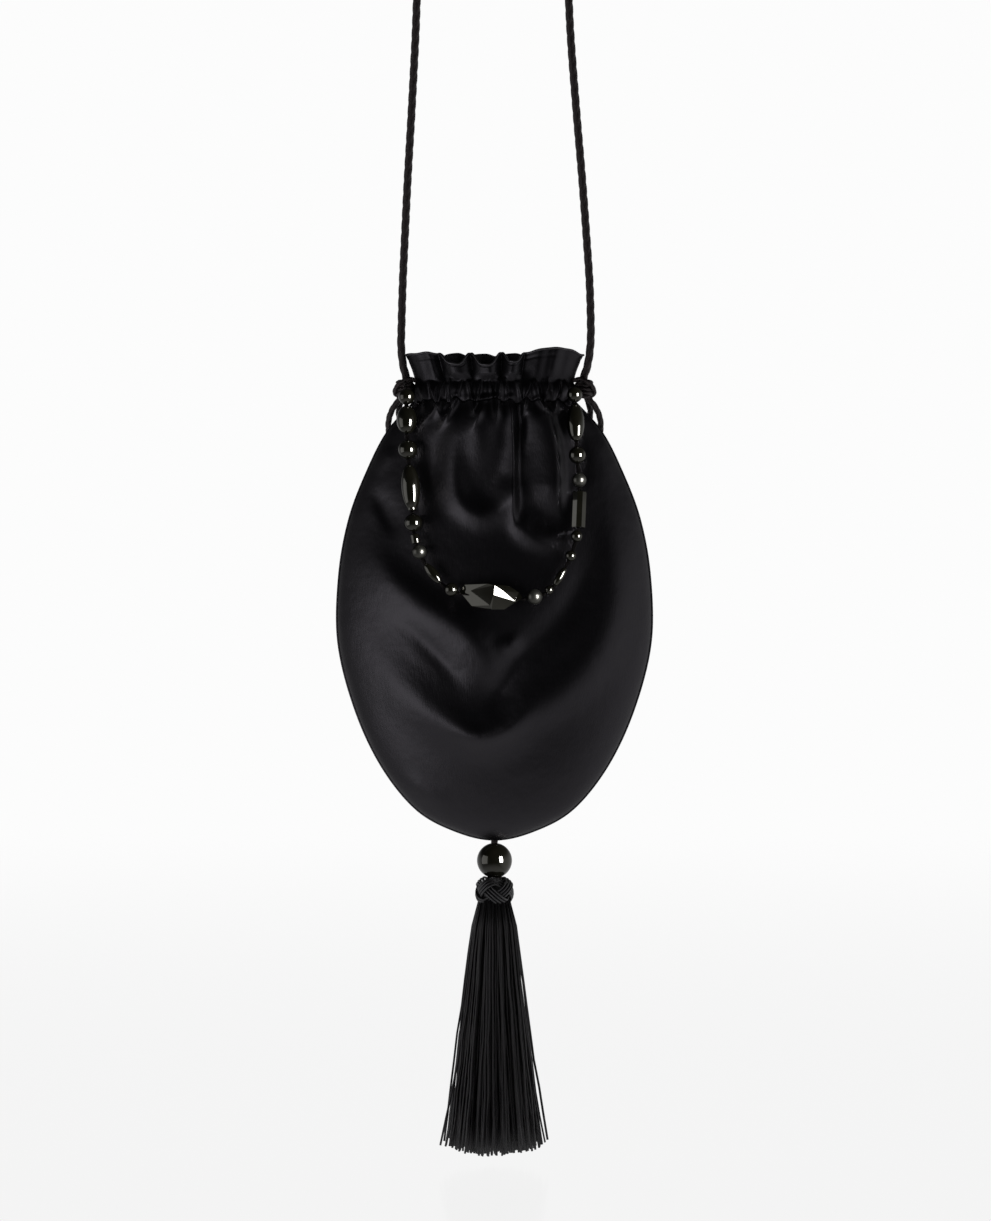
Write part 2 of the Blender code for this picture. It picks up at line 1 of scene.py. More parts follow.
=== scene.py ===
"""Looks of a black silk pouch with a beaded handle, a shoulder cord and a tassel.

Metres, +Z up, the front faces -Y. The pouch hangs by its shoulder cord, and the
origin is the underside of the cord's top bend. Each sub-assembly is a class that
builds its own meshes and dresses them in its own finishes.
"""

import logging
import math
from collections.abc import Callable
from dataclasses import dataclass, field
from enum import Enum

import bmesh
import bpy
import numpy as np
from mathutils import Matrix, Vector


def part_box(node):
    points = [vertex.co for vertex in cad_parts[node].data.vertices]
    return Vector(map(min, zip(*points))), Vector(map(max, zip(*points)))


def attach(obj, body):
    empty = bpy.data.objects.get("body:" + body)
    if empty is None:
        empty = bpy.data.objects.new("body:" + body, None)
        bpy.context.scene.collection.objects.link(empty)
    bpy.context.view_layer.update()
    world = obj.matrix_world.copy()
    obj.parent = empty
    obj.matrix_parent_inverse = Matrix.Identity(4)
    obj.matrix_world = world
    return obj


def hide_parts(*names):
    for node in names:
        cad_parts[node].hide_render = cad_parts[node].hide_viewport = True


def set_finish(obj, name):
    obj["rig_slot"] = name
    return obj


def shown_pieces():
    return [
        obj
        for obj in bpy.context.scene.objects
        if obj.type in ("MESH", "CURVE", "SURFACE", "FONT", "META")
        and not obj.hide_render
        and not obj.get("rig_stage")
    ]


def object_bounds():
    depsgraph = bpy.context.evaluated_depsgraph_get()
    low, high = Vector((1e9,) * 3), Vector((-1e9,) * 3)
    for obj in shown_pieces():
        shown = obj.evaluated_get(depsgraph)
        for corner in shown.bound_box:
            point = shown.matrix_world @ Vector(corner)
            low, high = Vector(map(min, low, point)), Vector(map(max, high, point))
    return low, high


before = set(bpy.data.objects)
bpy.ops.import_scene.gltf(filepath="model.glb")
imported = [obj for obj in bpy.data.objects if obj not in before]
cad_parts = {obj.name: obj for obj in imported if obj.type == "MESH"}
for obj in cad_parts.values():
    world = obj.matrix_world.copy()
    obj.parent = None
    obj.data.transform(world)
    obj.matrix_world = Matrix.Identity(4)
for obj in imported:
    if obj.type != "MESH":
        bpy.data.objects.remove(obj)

MM = 0.001
ROOT = "root"
LOG = logging.getLogger("silk_pouch")

Colour = tuple[float, float, float]
Route = tuple[tuple[float, float], ...]
Surface = Callable[[np.ndarray, np.ndarray], np.ndarray]
# a bead's middle, the way of its bore, half its length and half its thickness
BeadPlace = tuple[Vector, Vector, float, float]


class Slot(Enum):
    """The record's material slots."""

    SATIN = "satin"
    CORD = "cord"
    THREAD = "thread"
    POLISHED = "polished_bead"
    MATTE = "matte_bead"
    FRINGE = "fringe"


STONES = (Slot.POLISHED, Slot.MATTE)
CLOTHS = (Slot.SATIN, Slot.CORD, Slot.FRINGE, Slot.THREAD)


class Form(Enum):
    """How a bead is cut."""

    ROUND = "round"
    OVAL = "oval"
    COLLARED = "collared oval"
    TUBE = "tube"
    FACETED_TUBE = "faceted tube"
    NUGGET = "nugget"


class Signal:
    """A node's output that takes Python arithmetic, adding a Math node for each step."""

    def __init__(self, book: "NodeBook", socket: bpy.types.NodeSocket) -> None:
        """Keep the node book and the socket."""
        self.book = book
        self.socket = socket

    def _math(self, operation: str, first: "Signal | float", second: "Signal | float") -> "Signal":
        """One Math node on two operands."""
        return self.book.out("ShaderNodeMath", {"operation": operation}, {0: first, 1: second})

    def __add__(self, other: "Signal | float") -> "Signal":
        """Sum."""
        return self._math("ADD", self, other)

    __radd__ = __add__

    def __mul__(self, other: "Signal | float") -> "Signal":
        """Product."""
        return self._math("MULTIPLY", self, other)

    __rmul__ = __mul__

    def __sub__(self, other: "Signal | float") -> "Signal":
        """Difference."""
        return self._math("SUBTRACT", self, other)

    def __rsub__(self, other: float) -> "Signal":
        """A number less this signal."""
        return self._math("SUBTRACT", other, self)

    def at_least(self, other: "Signal | float") -> "Signal":
        """The larger of the two."""
        return self._math("MAXIMUM", self, other)


class NodeBook:
    """Adds nodes to one tree and wires them."""

    def __init__(self, tree: bpy.types.NodeTree) -> None:
        """Keep the tree."""
        self.tree = tree

    def add(self, kind: str, settings: dict, values: dict) -> bpy.types.Node:
        """Add one node.

        Args:
            kind: the node's type.
            settings: its properties, set before its sockets.
            values: a link or a number for each socket, by name or by place.

        Returns:
            The new node.
        """
        node = self.tree.nodes.new(kind)
        for name, value in settings.items():
            setattr(node, name, value)
        self.fill(node, values)
        return node

    def fill(self, node: bpy.types.Node, values: dict) -> None:
        """Link or set sockets of a node.

        Args:
            node: the node to fill.
            values: a link or a number for each socket, by name or by place.
        """
        for name, value in values.items():
            if isinstance(value, Signal):
                self.tree.links.new(value.socket, node.inputs[name])
            else:
                node.inputs[name].default_value = value

    def out(self, kind: str, settings: dict, values: dict, socket: int | str = 0) -> Signal:
        """Add one node and give one of its outputs."""
        return Signal(self, self.add(kind, settings, values).outputs[socket])

    def blend(self, share: Signal, first: Colour, second: Colour) -> Signal:
        """A colour between two, by a share."""
        return self.out("ShaderNodeMix", {"data_type": "RGBA"},
                        {0: share, 6: (*first, 1.0), 7: (*second, 1.0)}, 2)

    def step(self, value: Signal, low: float, high: float) -> Signal:
        """A smooth step from 0 at low to 1 at high."""
        return self.out("ShaderNodeMapRange", {"interpolation_type": "SMOOTHSTEP"},
                        {"Value": value, "From Min": low, "From Max": high})

    def place(self, space: str, scale: tuple[float, float, float] = (1, 1, 1),
              turn: float = 0.0) -> Signal:
        """Coordinates of a piece.

        Args:
            space: the kind of coordinates, by its output's name.
            scale: how much they are stretched each way.
            turn: how far they are turned about Z, in radians.

        Returns:
            The coordinates.
        """
        source = self.out("ShaderNodeTexCoord", {}, {}, space)
        return self.out("ShaderNodeMapping", {},
                        {"Vector": source, "Scale": scale, "Rotation": (0.0, 0.0, turn)})

    def noise(self, place: Signal, scale: float, detail: float = 2.0) -> Signal:
        """Noise from 0 to 1."""
        return self.out("ShaderNodeTexNoise", {}, {"Vector": place, "Scale": scale, "Detail": detail})

    def bump(self, height: Signal, distance: float, below: Signal | None = None) -> Signal:
        """A bumped normal.

        Args:
            height: the bump's height, from 0 to 1.
            distance: the depth in metres that a height of 1 stands for.
            below: another bumped normal that this one lies over.

        Returns:
            The normal.
        """
        values = {"Height": height, "Distance": distance, "Strength": 1.0}
        if below is not None:
            values["Normal"] = below
        return self.out("ShaderNodeBump", {}, values)


def principled(name: str, constants: dict) -> tuple[bpy.types.Material, NodeBook, bpy.types.Node]:
    """A new Principled material.

    Args:
        name: the material's name.
        constants: values that are the same all over, by socket.

    Returns:
        The material, its node book and its shader node.
    """
    material = bpy.data.materials.new(name)
    material.use_nodes = True
    shader = material.node_tree.nodes["Principled BSDF"]
    book = NodeBook(material.node_tree)
    book.fill(shader, constants)
    return material, book, shader


@dataclass(frozen=True)
class SatinFinish:
    """Black silk satin: smooth floats with a soft sheen and a faint crinkle."""

    name: str = "black_satin"
    deep: Colour = (0.0016, 0.0015, 0.0019)
    pale: Colour = (0.0030, 0.0028, 0.0034)
    roughness: tuple[float, float] = (0.35, 0.43)
    specular: float = 0.46
    tint: Colour = (0.94, 0.89, 1.0)
    sheen: float = 0.02
    sheen_tint: Colour = (0.86, 0.82, 1.0)
    cloud_size: float = 0.03
    crinkle_size: float = 0.011
    crinkle_depth: float = 0.00032
    slub_pitch: float = 0.0007
    slub_depth: float = 0.000070

    def material(self) -> bpy.types.Material:
        """The satin's material."""
        material, book, shader = principled(self.name, {
            "Sheen Weight": self.sheen, "Sheen Roughness": 0.4,
            "Sheen Tint": (*self.sheen_tint, 1.0), "IOR": 1.5,
            "Specular IOR Level": self.specular, "Specular Tint": (*self.tint, 1.0)})
        body = book.place("Object")
        weave = book.place("UV", (1.0, 0.22, 1.0))
        cloud = book.noise(body, 1 / self.cloud_size, 3.0)
        slub = book.noise(weave, 1 / self.slub_pitch, 2.0)
        crinkle = book.noise(body, 1 / self.crinkle_size, 2.0)
        low, high = self.roughness
        book.fill(shader, {
            "Base Color": book.blend(cloud, self.deep, self.pale),
            "Roughness": low + (high - low) * (0.5 * cloud + 0.5 * slub),
            "Normal": book.bump(slub, self.slub_depth, book.bump(crinkle, self.crinkle_depth))})
        return material


@dataclass(frozen=True)
class CordFinish:
    """Laid-up silk cord: fine yarn running slantwise over each strand."""

    name: str
    deep: Colour = (0.0018, 0.0014, 0.0015)
    pale: Colour = (0.0300, 0.0215, 0.0220)
    roughness: float = 0.38
    specular: float = 0.55
    tint: Colour = (1.0, 0.88, 0.90)
    sheen: float = 0.02
    fuzz_size: float = 0.0012
    fuzz_roughness: float = 0.2
    # a wave's scale is this share of one over its pitch
    wave_share: float = 0.314
    yarn_pitch: float = 0.00045
    yarn_turn: float = 0.9
    yarn_depth: float = 0.000060

    def material(self) -> bpy.types.Material:
        """The cord's material."""
        material, book, shader = principled(self.name, {
            "Sheen Weight": self.sheen, "Sheen Roughness": 0.45, "IOR": 1.5,
            "Specular IOR Level": self.specular, "Specular Tint": (*self.tint, 1.0)})
        along = book.place("UV", turn=self.yarn_turn)
        yarn = book.out("ShaderNodeTexWave", {"wave_type": "BANDS", "bands_direction": "X"},
                        {"Vector": along, "Scale": self.wave_share / self.yarn_pitch, "Distortion": 1.2,
                         "Detail": 1.0, "Detail Scale": 1.0}, "Fac")
        fuzz = book.noise(book.place("Object"), 1 / self.fuzz_size, 3.0)
        book.fill(shader, {
            "Base Color": book.blend(yarn * fuzz, self.deep, self.pale),
            "Roughness": self.roughness + self.fuzz_roughness * fuzz,
            "Normal": book.bump(yarn, self.yarn_depth)})
        return material


@dataclass(frozen=True)
class StoneFinish:
    """Black stone, polished or dull, with faint clouds and a fine grain in its gloss and surface."""

    name: str
    deep: Colour = (0.0006, 0.0006, 0.0004)
    pale: Colour = (0.0016, 0.0015, 0.0010)
    roughness: tuple[float, float] = (0.03, 0.08)
    ior: float = 1.50
    tint: Colour = (1.0, 0.98, 0.90)
    grain_size: float = 0.0030
    grain_depth: float = 0.000012

    def material(self) -> bpy.types.Material:
        """The stone's material."""
        material, book, shader = principled(self.name, {
            "IOR": self.ior, "Specular Tint": (*self.tint, 1.0)})
        body = book.place("Object")
        cloud = book.noise(body, 1 / (2 * self.grain_size), 3.0)
        grain = book.noise(body, 1 / self.grain_size, 4.0)
        low, high = self.roughness
        book.fill(shader, {
            "Base Color": book.blend(cloud, self.deep, self.pale),
            "Roughness": low + (high - low) * grain,
            "Normal": book.bump(grain, self.grain_depth)})
        return material


def smooth_rows(rows: tuple, steps: int, mirrored_end: bool = False) -> np.ndarray:
    """Rows on a Catmull-Rom curve through the given rows.

    Args:
        rows: rows of numbers, evenly spaced along the curve.
        steps: new rows for each given one.
        mirrored_end: whether the curve ends as the round tip of a closed form.

    Returns:
        The dense rows as an array.
    """
    table = np.array(rows, dtype=float)
    first = 2 * table[0] - table[1]
    last = 2 * table[-1] - table[-2]
    if mirrored_end:
        last[0] = table[-2][0]
    padded = np.vstack([first, table, last])
    share = (np.arange(steps) / steps)[:, None]
    dense = []
    for index in range(1, len(padded) - 2):
        a, b, c, d = padded[index - 1:index + 3]
        dense.append(0.5 * (2 * b + (c - a) * share + (2 * a - 5 * b + 4 * c - d) * share ** 2
                            + (3 * b - a - 3 * c + d) * share ** 3))
    return np.vstack([*dense, table[-1:]])


def even_route(points: np.ndarray, spacing: float) -> np.ndarray:
    """Points at an even spacing along a dense polyline.

    Args:
        points: the polyline's points.
        spacing: the distance to keep between the new ones.

    Returns:
        The new points.
    """
    lengths = np.concatenate([[0.0], np.cumsum(np.linalg.norm(np.diff(points, axis=0), axis=1))])
    count = max(2, round(lengths[-1] / spacing))
    places = np.linspace(0.0, lengths[-1], count + 1)
    return np.stack([np.interp(places, lengths, points[:, axis]) for axis in range(3)], axis=1)


def smooth_step(low: float, high: float, value: np.ndarray) -> np.ndarray:
    """A smooth step from 0 at low to 1 at high."""
    share = np.clip((value - low) / (high - low), 0.0, 1.0)
    return share * share * (3 - 2 * share)


def beat(turn: np.ndarray, first: tuple[float, float], second: tuple[float, float]) -> np.ndarray:
    """Two sine waves multiplied, each given by its count round a ring and its phase."""
    return (np.sin(2 * math.pi * turn * first[0] + first[1])
            * np.sin(2 * math.pi * turn * second[0] + second[1]))


def new_mesh() -> bmesh.types.BMesh:
    """An empty mesh with room for its pattern coordinates."""
    mesh = bmesh.new()
    mesh.loops.layers.uv.new("UVMap")
    return mesh


def add_grid(mesh: bmesh.types.BMesh, columns: int, rows: int, place: Surface,
             span: tuple[float, float], weld: bool = False) -> list[bmesh.types.BMVert]:
    """Add a grid and move its points to their places on a surface.

    Args:
        mesh: the mesh to add to.
        columns: faces along the first direction.
        rows: faces along the second direction.
        place: gives an array of points for two arrays of shares from 0 to 1.
        span: the surface's size in metres in both directions, for patterns.
        weld: whether edges that meet are joined.

    Returns:
        The grid's points.
    """
    verts = bmesh.ops.create_grid(mesh, x_segments=columns, y_segments=rows, size=0.5,
                                  calc_uvs=True)["verts"]
    flat = np.array([vert.co[:2] for vert in verts]) + 0.5
    across = np.rint(flat[:, 0] * columns) / columns
    down = np.rint(flat[:, 1] * rows) / rows
    layer = mesh.loops.layers.uv.active
    for vert, share_across, share_down, point in zip(verts, across, down, place(across, down)):
        vert.co = point
        for loop in vert.link_loops:
            loop[layer].uv = (share_across * span[0], share_down * span[1])
    if weld:
        bmesh.ops.remove_doubles(mesh, verts=verts, dist=1e-7)
    return [vert for vert in verts if vert.is_valid]


@dataclass(frozen=True)
class Lay:
    """How a round cord is laid up."""

    diameter: float
    sides: int = 18
    strands: int = 3
    turn_length: float = 0.022
    groove: float = 0.20

    @classmethod
    def smooth(cls, diameter: float, sides: int) -> "Lay":
        """The lay of a plain round cord, without strands."""
        return cls(diameter, sides=sides, strands=0, turn_length=1.0, groove=0.0)


def carried_frames(route: np.ndarray) -> tuple[np.ndarray, np.ndarray]:
    """Directions square to a route, carried along it without twist.

    Args:
        route: the route's points.

    Returns:
        Two directions at each point, square to the route and to each other.
    """
    tangents = np.gradient(route, axis=0)
    tangents /= np.linalg.norm(tangents, axis=1)[:, None]
    start = Vector(tangents[0]).orthogonal().normalized()
    sides = [np.array(start)]
    for tangent in tangents[1:]:
        side = sides[-1] - tangent * np.dot(sides[-1], tangent)
        sides.append(side / np.linalg.norm(side))
    across = np.array(sides)
    return across, np.cross(tangents, across)


def add_cord(mesh: bmesh.types.BMesh, route: np.ndarray, lay: Lay) -> None:
    """Add a cord along a route, with a groove between its strands.

    Args:
        mesh: the mesh to add to.
        route: points along its centre line.
        lay: its thickness and strands.
    """
    across, upward = carried_frames(route)
    lengths = np.concatenate([[0.0], np.cumsum(np.linalg.norm(np.diff(route, axis=0), axis=1))])
    rows = len(route) - 1

    def place(around: np.ndarray, along: np.ndarray) -> np.ndarray:
        """Points of the cord's surface.

        Args:
            around: shares of a turn round the cord.
            along: shares of its length.

        Returns:
            The points.
        """
        index = np.rint(along * rows).astype(int)
        wave = np.abs(np.cos(math.pi * lay.strands * around))
        reach = lay.diameter / 2 * (1 - lay.groove * (1 - wave) ** 1.5)
        angle = 2 * math.pi * (around + lengths[index] / lay.turn_length)
        outward = (np.cos(angle)[:, None] * across[index] + np.sin(angle)[:, None] * upward[index])
        return route[index] + reach[:, None] * outward

    verts = add_grid(mesh, lay.sides, rows, place, (math.pi * lay.diameter, lengths[-1]), weld=True)
    rim = {edge for vert in verts for edge in vert.link_edges if edge.is_boundary}
    bmesh.ops.holes_fill(mesh, edges=list(rim), sides=0)


def round_outline(radius: float, half: float, bore: float, count: int) -> Route:
    """Outline of a drilled ball or oval, down from the bore's top edge.

    Args:
        radius: its greatest radius.
        half: half its length.
        bore: its bore's radius.
        count: how many points the outline has.

    Returns:
        The radius and the height of each point.
    """
    first = math.asin(bore / radius)
    turns = np.linspace(first, math.pi - first, count)
    return tuple((radius * math.sin(turn), half * math.cos(turn)) for turn in turns)


def add_turned(mesh: bmesh.types.BMesh, outline: Route, steps: int) -> None:
    """Add a body turned round the Z axis, with a bore through it.

    Args:
        mesh: the mesh to add to.
        outline: the radius and the height of each point, from bore edge to bore edge.
        steps: its faces round the axis.
    """
    verts = [mesh.verts.new((radius, 0.0, height)) for radius, height in outline]
    edges = [mesh.edges.new(pair) for pair in zip(verts, verts[1:] + verts[:1])]
    bmesh.ops.spin(mesh, geom=verts + edges, axis=(0, 0, 1), cent=(0, 0, 0), steps=steps,
                   angle=2 * math.pi, use_merge=True)


def add_piece(name: str, mesh: bmesh.types.BMesh, material: bpy.types.Material, slot: Slot,
              stands_for: tuple[str, ...] = (), crease: float | None = None,
              closed: bool = True) -> bpy.types.Object:
    """Make a finished piece of a mesh and let it ride on the pouch.

    Args:
        name: the piece's name.
        mesh: its mesh, which is freed.
        material: its finish.
        slot: the record's slot for that finish.
        stands_for: the frame's nodes that it replaces.
        crease: the angle past which an edge stays crisp, in degrees.
        closed: whether its faces are turned to point outwards.

    Returns:
        The new piece.
    """
    if closed:
        bmesh.ops.recalc_face_normals(mesh, faces=mesh.faces)
    data = bpy.data.meshes.new(name)
    mesh.to_mesh(data)
    mesh.free()
    data.materials.append(material)
    data.shade_smooth()
    if crease is not None:
        data.set_sharp_from_angle(angle=math.radians(crease))
    piece = bpy.data.objects.new(name, data)
    bpy.context.scene.collection.objects.link(piece)
    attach(piece, ROOT)
    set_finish(piece, slot.value)
    if stands_for:
        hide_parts(*stands_for)
    LOG.info("%s: %d faces", name, len(data.polygons))
    return piece


def middle_of(node: str) -> tuple[Vector, Vector]:
    """Middle and size of a node of the frame."""
    low, high = (Vector(corner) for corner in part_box(node))
    return (low + high) / 2, high - low


@dataclass(frozen=True)
class Softbox:
    """One softbox, aimed at the bag, that lights only some of the finishes.

    Azimuth is in degrees to the right of the camera, lift is its height above the
    bag's middle, size its width and height, and power is in watts.
    """

    name: str
    azimuth: float
    lift: float
    size: tuple[float, float]
    power: float
    slots: tuple[Slot, ...]


@dataclass
class Studio:
    """A bright white cove with a dark room behind the camera, and its softboxes."""

    photo_size: tuple[int, int] = (991, 1221)
    metres_per_pixel: float = 0.57 * MM
    middle_pixel: float = 494.5
    origin_above_frame: float = 215.0
    lens: float = 100.0
    sensor: float = 36.0
    paper_white: float = 0.974
    cove_glow: float = 0.58
    side_glow: tuple[float, float] = (0.25, 0.66)
    floor_glow: float = 0.58
    room_glow: float = 0.006
    # where each glow fades in, as shares of the direction's own axis
    cove_edge: tuple[float, float] = (-0.25, 0.35)
    left_edge: tuple[float, float] = (0.45, 0.90)
    right_edge: tuple[float, float] = (0.32, 0.88)
    floor_edge: tuple[float, float] = (0.16, 0.84)
    # the share of the cove's and of the sides' glow lost towards the ceiling, and where
    top_loss: tuple[float, float, float] = (0.96, -0.05, 0.50)
    side_loss: tuple[float, float, float] = (0.94, 0.05, 0.60)
    softbox_distance: float = 1.6
    aim_height: float = -0.45
    floor_gap: float = 1.2 * MM
    floor_radius: float = 3.2
    floor_fade: tuple[float, float] = (0.35, 3.04)
    floor_gloss: float = 0.10
    floor_roughness: float = 0.16
    softboxes: tuple[Softbox, ...] = (
        Softbox("bead_light", 46.0, 0.10, (0.62, 1.05), 190.0, STONES),
        Softbox("bead_panel", -70.0, 0.0, (1.3, 1.3), 7.8, STONES),
        Softbox("cloth_light", -40.0, -0.36, (1.0, 0.8), 5.5, CLOTHS),
    )

    def place_camera(self) -> None:
        """The camera, straight on at the photograph's distance and height."""
        width, height = self.photo_size
        camera = bpy.data.cameras.new("camera")
        camera.sensor_fit = "VERTICAL"
        camera.sensor_height = self.sensor
        camera.lens = self.lens
        distance = height * self.metres_per_pixel * self.lens / self.sensor
        viewer = bpy.data.objects.new("camera", camera)
        viewer.location = ((width / 2 - self.middle_pixel) * self.metres_per_pixel, -distance,
                           -(height / 2 + self.origin_above_frame) * self.metres_per_pixel)
        viewer.rotation_euler = (math.radians(90), 0, 0)
        bpy.context.scene.collection.objects.link(viewer)
        bpy.context.scene.camera = viewer

    def light_room(self) -> None:
        """White paper to the camera, and the cove's glow to everything else."""
        bpy.context.scene.view_settings.view_transform = "Standard"
        world = bpy.data.worlds.new("cove")
        bpy.context.scene.world = world
        world.use_nodes = True
        book = NodeBook(world.node_tree)
        way = book.out("ShaderNodeTexCoord", {}, {}, "Generated")
        split = book.add("ShaderNodeSeparateXYZ", {}, {0: way})
        x, y, z = (Signal(book, split.outputs[axis]) for axis in range(3))
        left, right = self.side_glow
        cove = self.cove_glow * book.step(y, *self.cove_edge)
        side = (left * book.step(0.0 - x, *self.left_edge)).at_least(
            right * book.step(x, *self.right_edge))
        floor = self.floor_glow * book.step(0.0 - z, *self.floor_edge)
        open_top, high_side = (1.0 - loss * book.step(z, low, high)
                               for loss, low, high in (self.top_loss, self.side_loss))
        glow = (cove * open_top).at_least(side * high_side).at_least(floor) + self.room_glow
        seen = book.out("ShaderNodeLightPath", {}, {}, "Is Camera Ray")
        book.fill(world.node_tree.nodes["Background"], {
            "Color": (1.0, 1.0, 1.0, 1.0), "Strength": seen * self.paper_white + (1.0 - seen) * glow})

    def hang_softboxes(self) -> None:
        """Every softbox, each lighting the pieces of its own finishes."""
        aim = Vector((0.0, 0.0, self.aim_height))
        for softbox in self.softboxes:
            light = bpy.data.lights.new(softbox.name, "AREA")
            light.shape = "RECTANGLE"
            light.size, light.size_y = softbox.size
            light.energy = softbox.power
            turn = math.radians(softbox.azimuth)
            place = aim + Vector((math.sin(turn), -math.cos(turn), 0.0)) * self.softbox_distance
            place.z += softbox.lift
            box = bpy.data.objects.new(softbox.name, light)
            box.location = place
            box.rotation_euler = (aim - place).to_track_quat("-Z", "Y").to_euler()
            bpy.context.scene.collection.objects.link(box)
            lit = bpy.data.collections.new(f"lit_by_{softbox.name}")
            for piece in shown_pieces():
                if Slot(piece["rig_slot"]) in softbox.slots:
                    lit.objects.link(piece)
            box.light_linking.receiver_collection = lit

    def lay_floor(self, lowest: float) -> None:
        """The white floor just under the tassel, with a faint reflection.

        Args:
            lowest: the object's lowest point.
        """
        mesh = new_mesh()
        bmesh.ops.create_circle(mesh, cap_ends=True, segments=96, radius=self.floor_radius,
                                matrix=Matrix.Translation((0, 0, lowest - self.floor_gap)))
        data = bpy.data.meshes.new("floor")
        mesh.to_mesh(data)
        mesh.free()
        material = bpy.data.materials.new("white_floor")
        material.use_nodes = True
        book = NodeBook(material.node_tree)
        material.node_tree.nodes.remove(material.node_tree.nodes["Principled BSDF"])
        paper = book.out("ShaderNodeEmission", {}, {"Strength": self.paper_white})
        gloss = book.out("ShaderNodeBsdfAnisotropic", {}, {"Roughness": self.floor_roughness})
        surface = book.out("ShaderNodeMixShader", {}, {0: self.floor_gloss, 1: paper, 2: gloss})
        clear = book.out("ShaderNodeBsdfTransparent", {}, {})
        reach = book.out("ShaderNodeVectorMath", {"operation": "LENGTH"},
                         {0: book.place("Object", (1, 1, 0))}, "Value")
        faded = book.out("ShaderNodeMixShader", {},
                         {0: book.step(reach, *self.floor_fade), 1: surface, 2: clear})
        material.node_tree.links.new(faded.socket,
                                     material.node_tree.nodes["Material Output"].inputs["Surface"])
        data.materials.append(material)
        floor = bpy.data.objects.new("floor", data)
        bpy.context.scene.collection.objects.link(floor)
        for ray in ("visible_diffuse", "visible_glossy", "visible_transmission", "visible_shadow"):
            setattr(floor, ray, False)
        floor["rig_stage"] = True


@dataclass
class ShoulderCord:
    """The long carrying cord, a whole loop from knot to knot."""

    diameter: float = 4.7 * MM
    step: float = 0.8 * MM
    route: Route = (
        (-0.0500, -0.3400), (-0.0506, -0.3366), (-0.0522, -0.3300), (-0.0532, -0.3200),
        (-0.0530, -0.3080), (-0.0523, -0.2840), (-0.0512, -0.2600), (-0.0495, -0.2250),
        (-0.0472, -0.1850),
        (-0.0449, -0.1400), (-0.0436, -0.1000), (-0.0418, -0.0650), (-0.0378, -0.0350),
        (-0.0290, -0.0120), (-0.0155, -0.0010), (0.0000, 0.0020), (0.0150, -0.0012),
        (0.0278, -0.0125), (0.0360, -0.0350), (0.0396, -0.0650), (0.0415, -0.1000),
        (0.0432, -0.1400), (0.0466, -0.1850), (0.0500, -0.2250), (0.0526, -0.2600),
        (0.0542, -0.2840), (0.0549, -0.3080), (0.0546, -0.3200), (0.0532, -0.3300),
        (0.0512, -0.3366), (0.0505, -0.3400),
    )

    def build(self, material: bpy.types.Material) -> None:
        """The cord, laid up from three strands.

        Args:
            material: its finish.
        """
        flat = smooth_rows(self.route, 12)
        dense = np.stack([flat[:, 0], np.zeros(len(flat)), flat[:, 1]], axis=1)
        points = even_route(dense, self.step)
        mesh = new_mesh()
        add_cord(mesh, points, Lay(self.diameter))
        piece = add_piece("shoulder_cord_laid", mesh, material, Slot.CORD, ("shoulder_cord",))


@dataclass
class DrawstringLoops:
    """The loops of thinner cord that leave the side knots and go behind."""

    diameter: float = 3.6 * MM
    turn_length: float = 0.016
    step: float = 0.6 * MM
    route: tuple[tuple[float, float, float], ...] = (
        (0.0528, -0.0012, -0.3450), (0.0540, -0.0010, -0.3500), (0.0568, -0.0002, -0.3536),
        (0.0592, 0.0020, -0.3578), (0.0606, 0.0052, -0.3630), (0.0604, 0.0090, -0.3690),
        (0.0584, 0.0122, -0.3755), (0.0552, 0.0146, -0.3830), (0.0520, 0.0164, -0.3910),
        (0.0494, 0.0178, -0.3990),
        (0.0470, 0.0190, -0.4060), (0.0430, 0.0198, -0.4100), (0.0390, 0.0200, -0.4070),
        (0.0382, 0.0196, -0.4000), (0.0402, 0.0186, -0.3915), (0.0440, 0.0172, -0.3825),
        (0.0485, 0.0152, -0.3740), (0.0526, 0.0122, -0.3665), (0.0546, 0.0086, -0.3600),
        (0.0545, 0.0052, -0.3548), (0.0530, 0.0036, -0.3500),
        (0.0520, 0.0028, -0.3450),
    )

    def build(self, material: bpy.types.Material) -> None:
        """Both loops, mirrored left and right.

        Args:
            material: their finish.
        """
        for name, side in (("left", -1), ("right", 1)):
            dense = smooth_rows(self.route, 12) * np.array([side, 1, 1])
            points = even_route(dense, self.step)
            mesh = new_mesh()
            add_cord(mesh, points, Lay(self.diameter, turn_length=self.turn_length))
            piece = add_piece(f"drawstring_{name}_laid", mesh, material, Slot.CORD,
                              (f"drawstring_loop_{name}",))


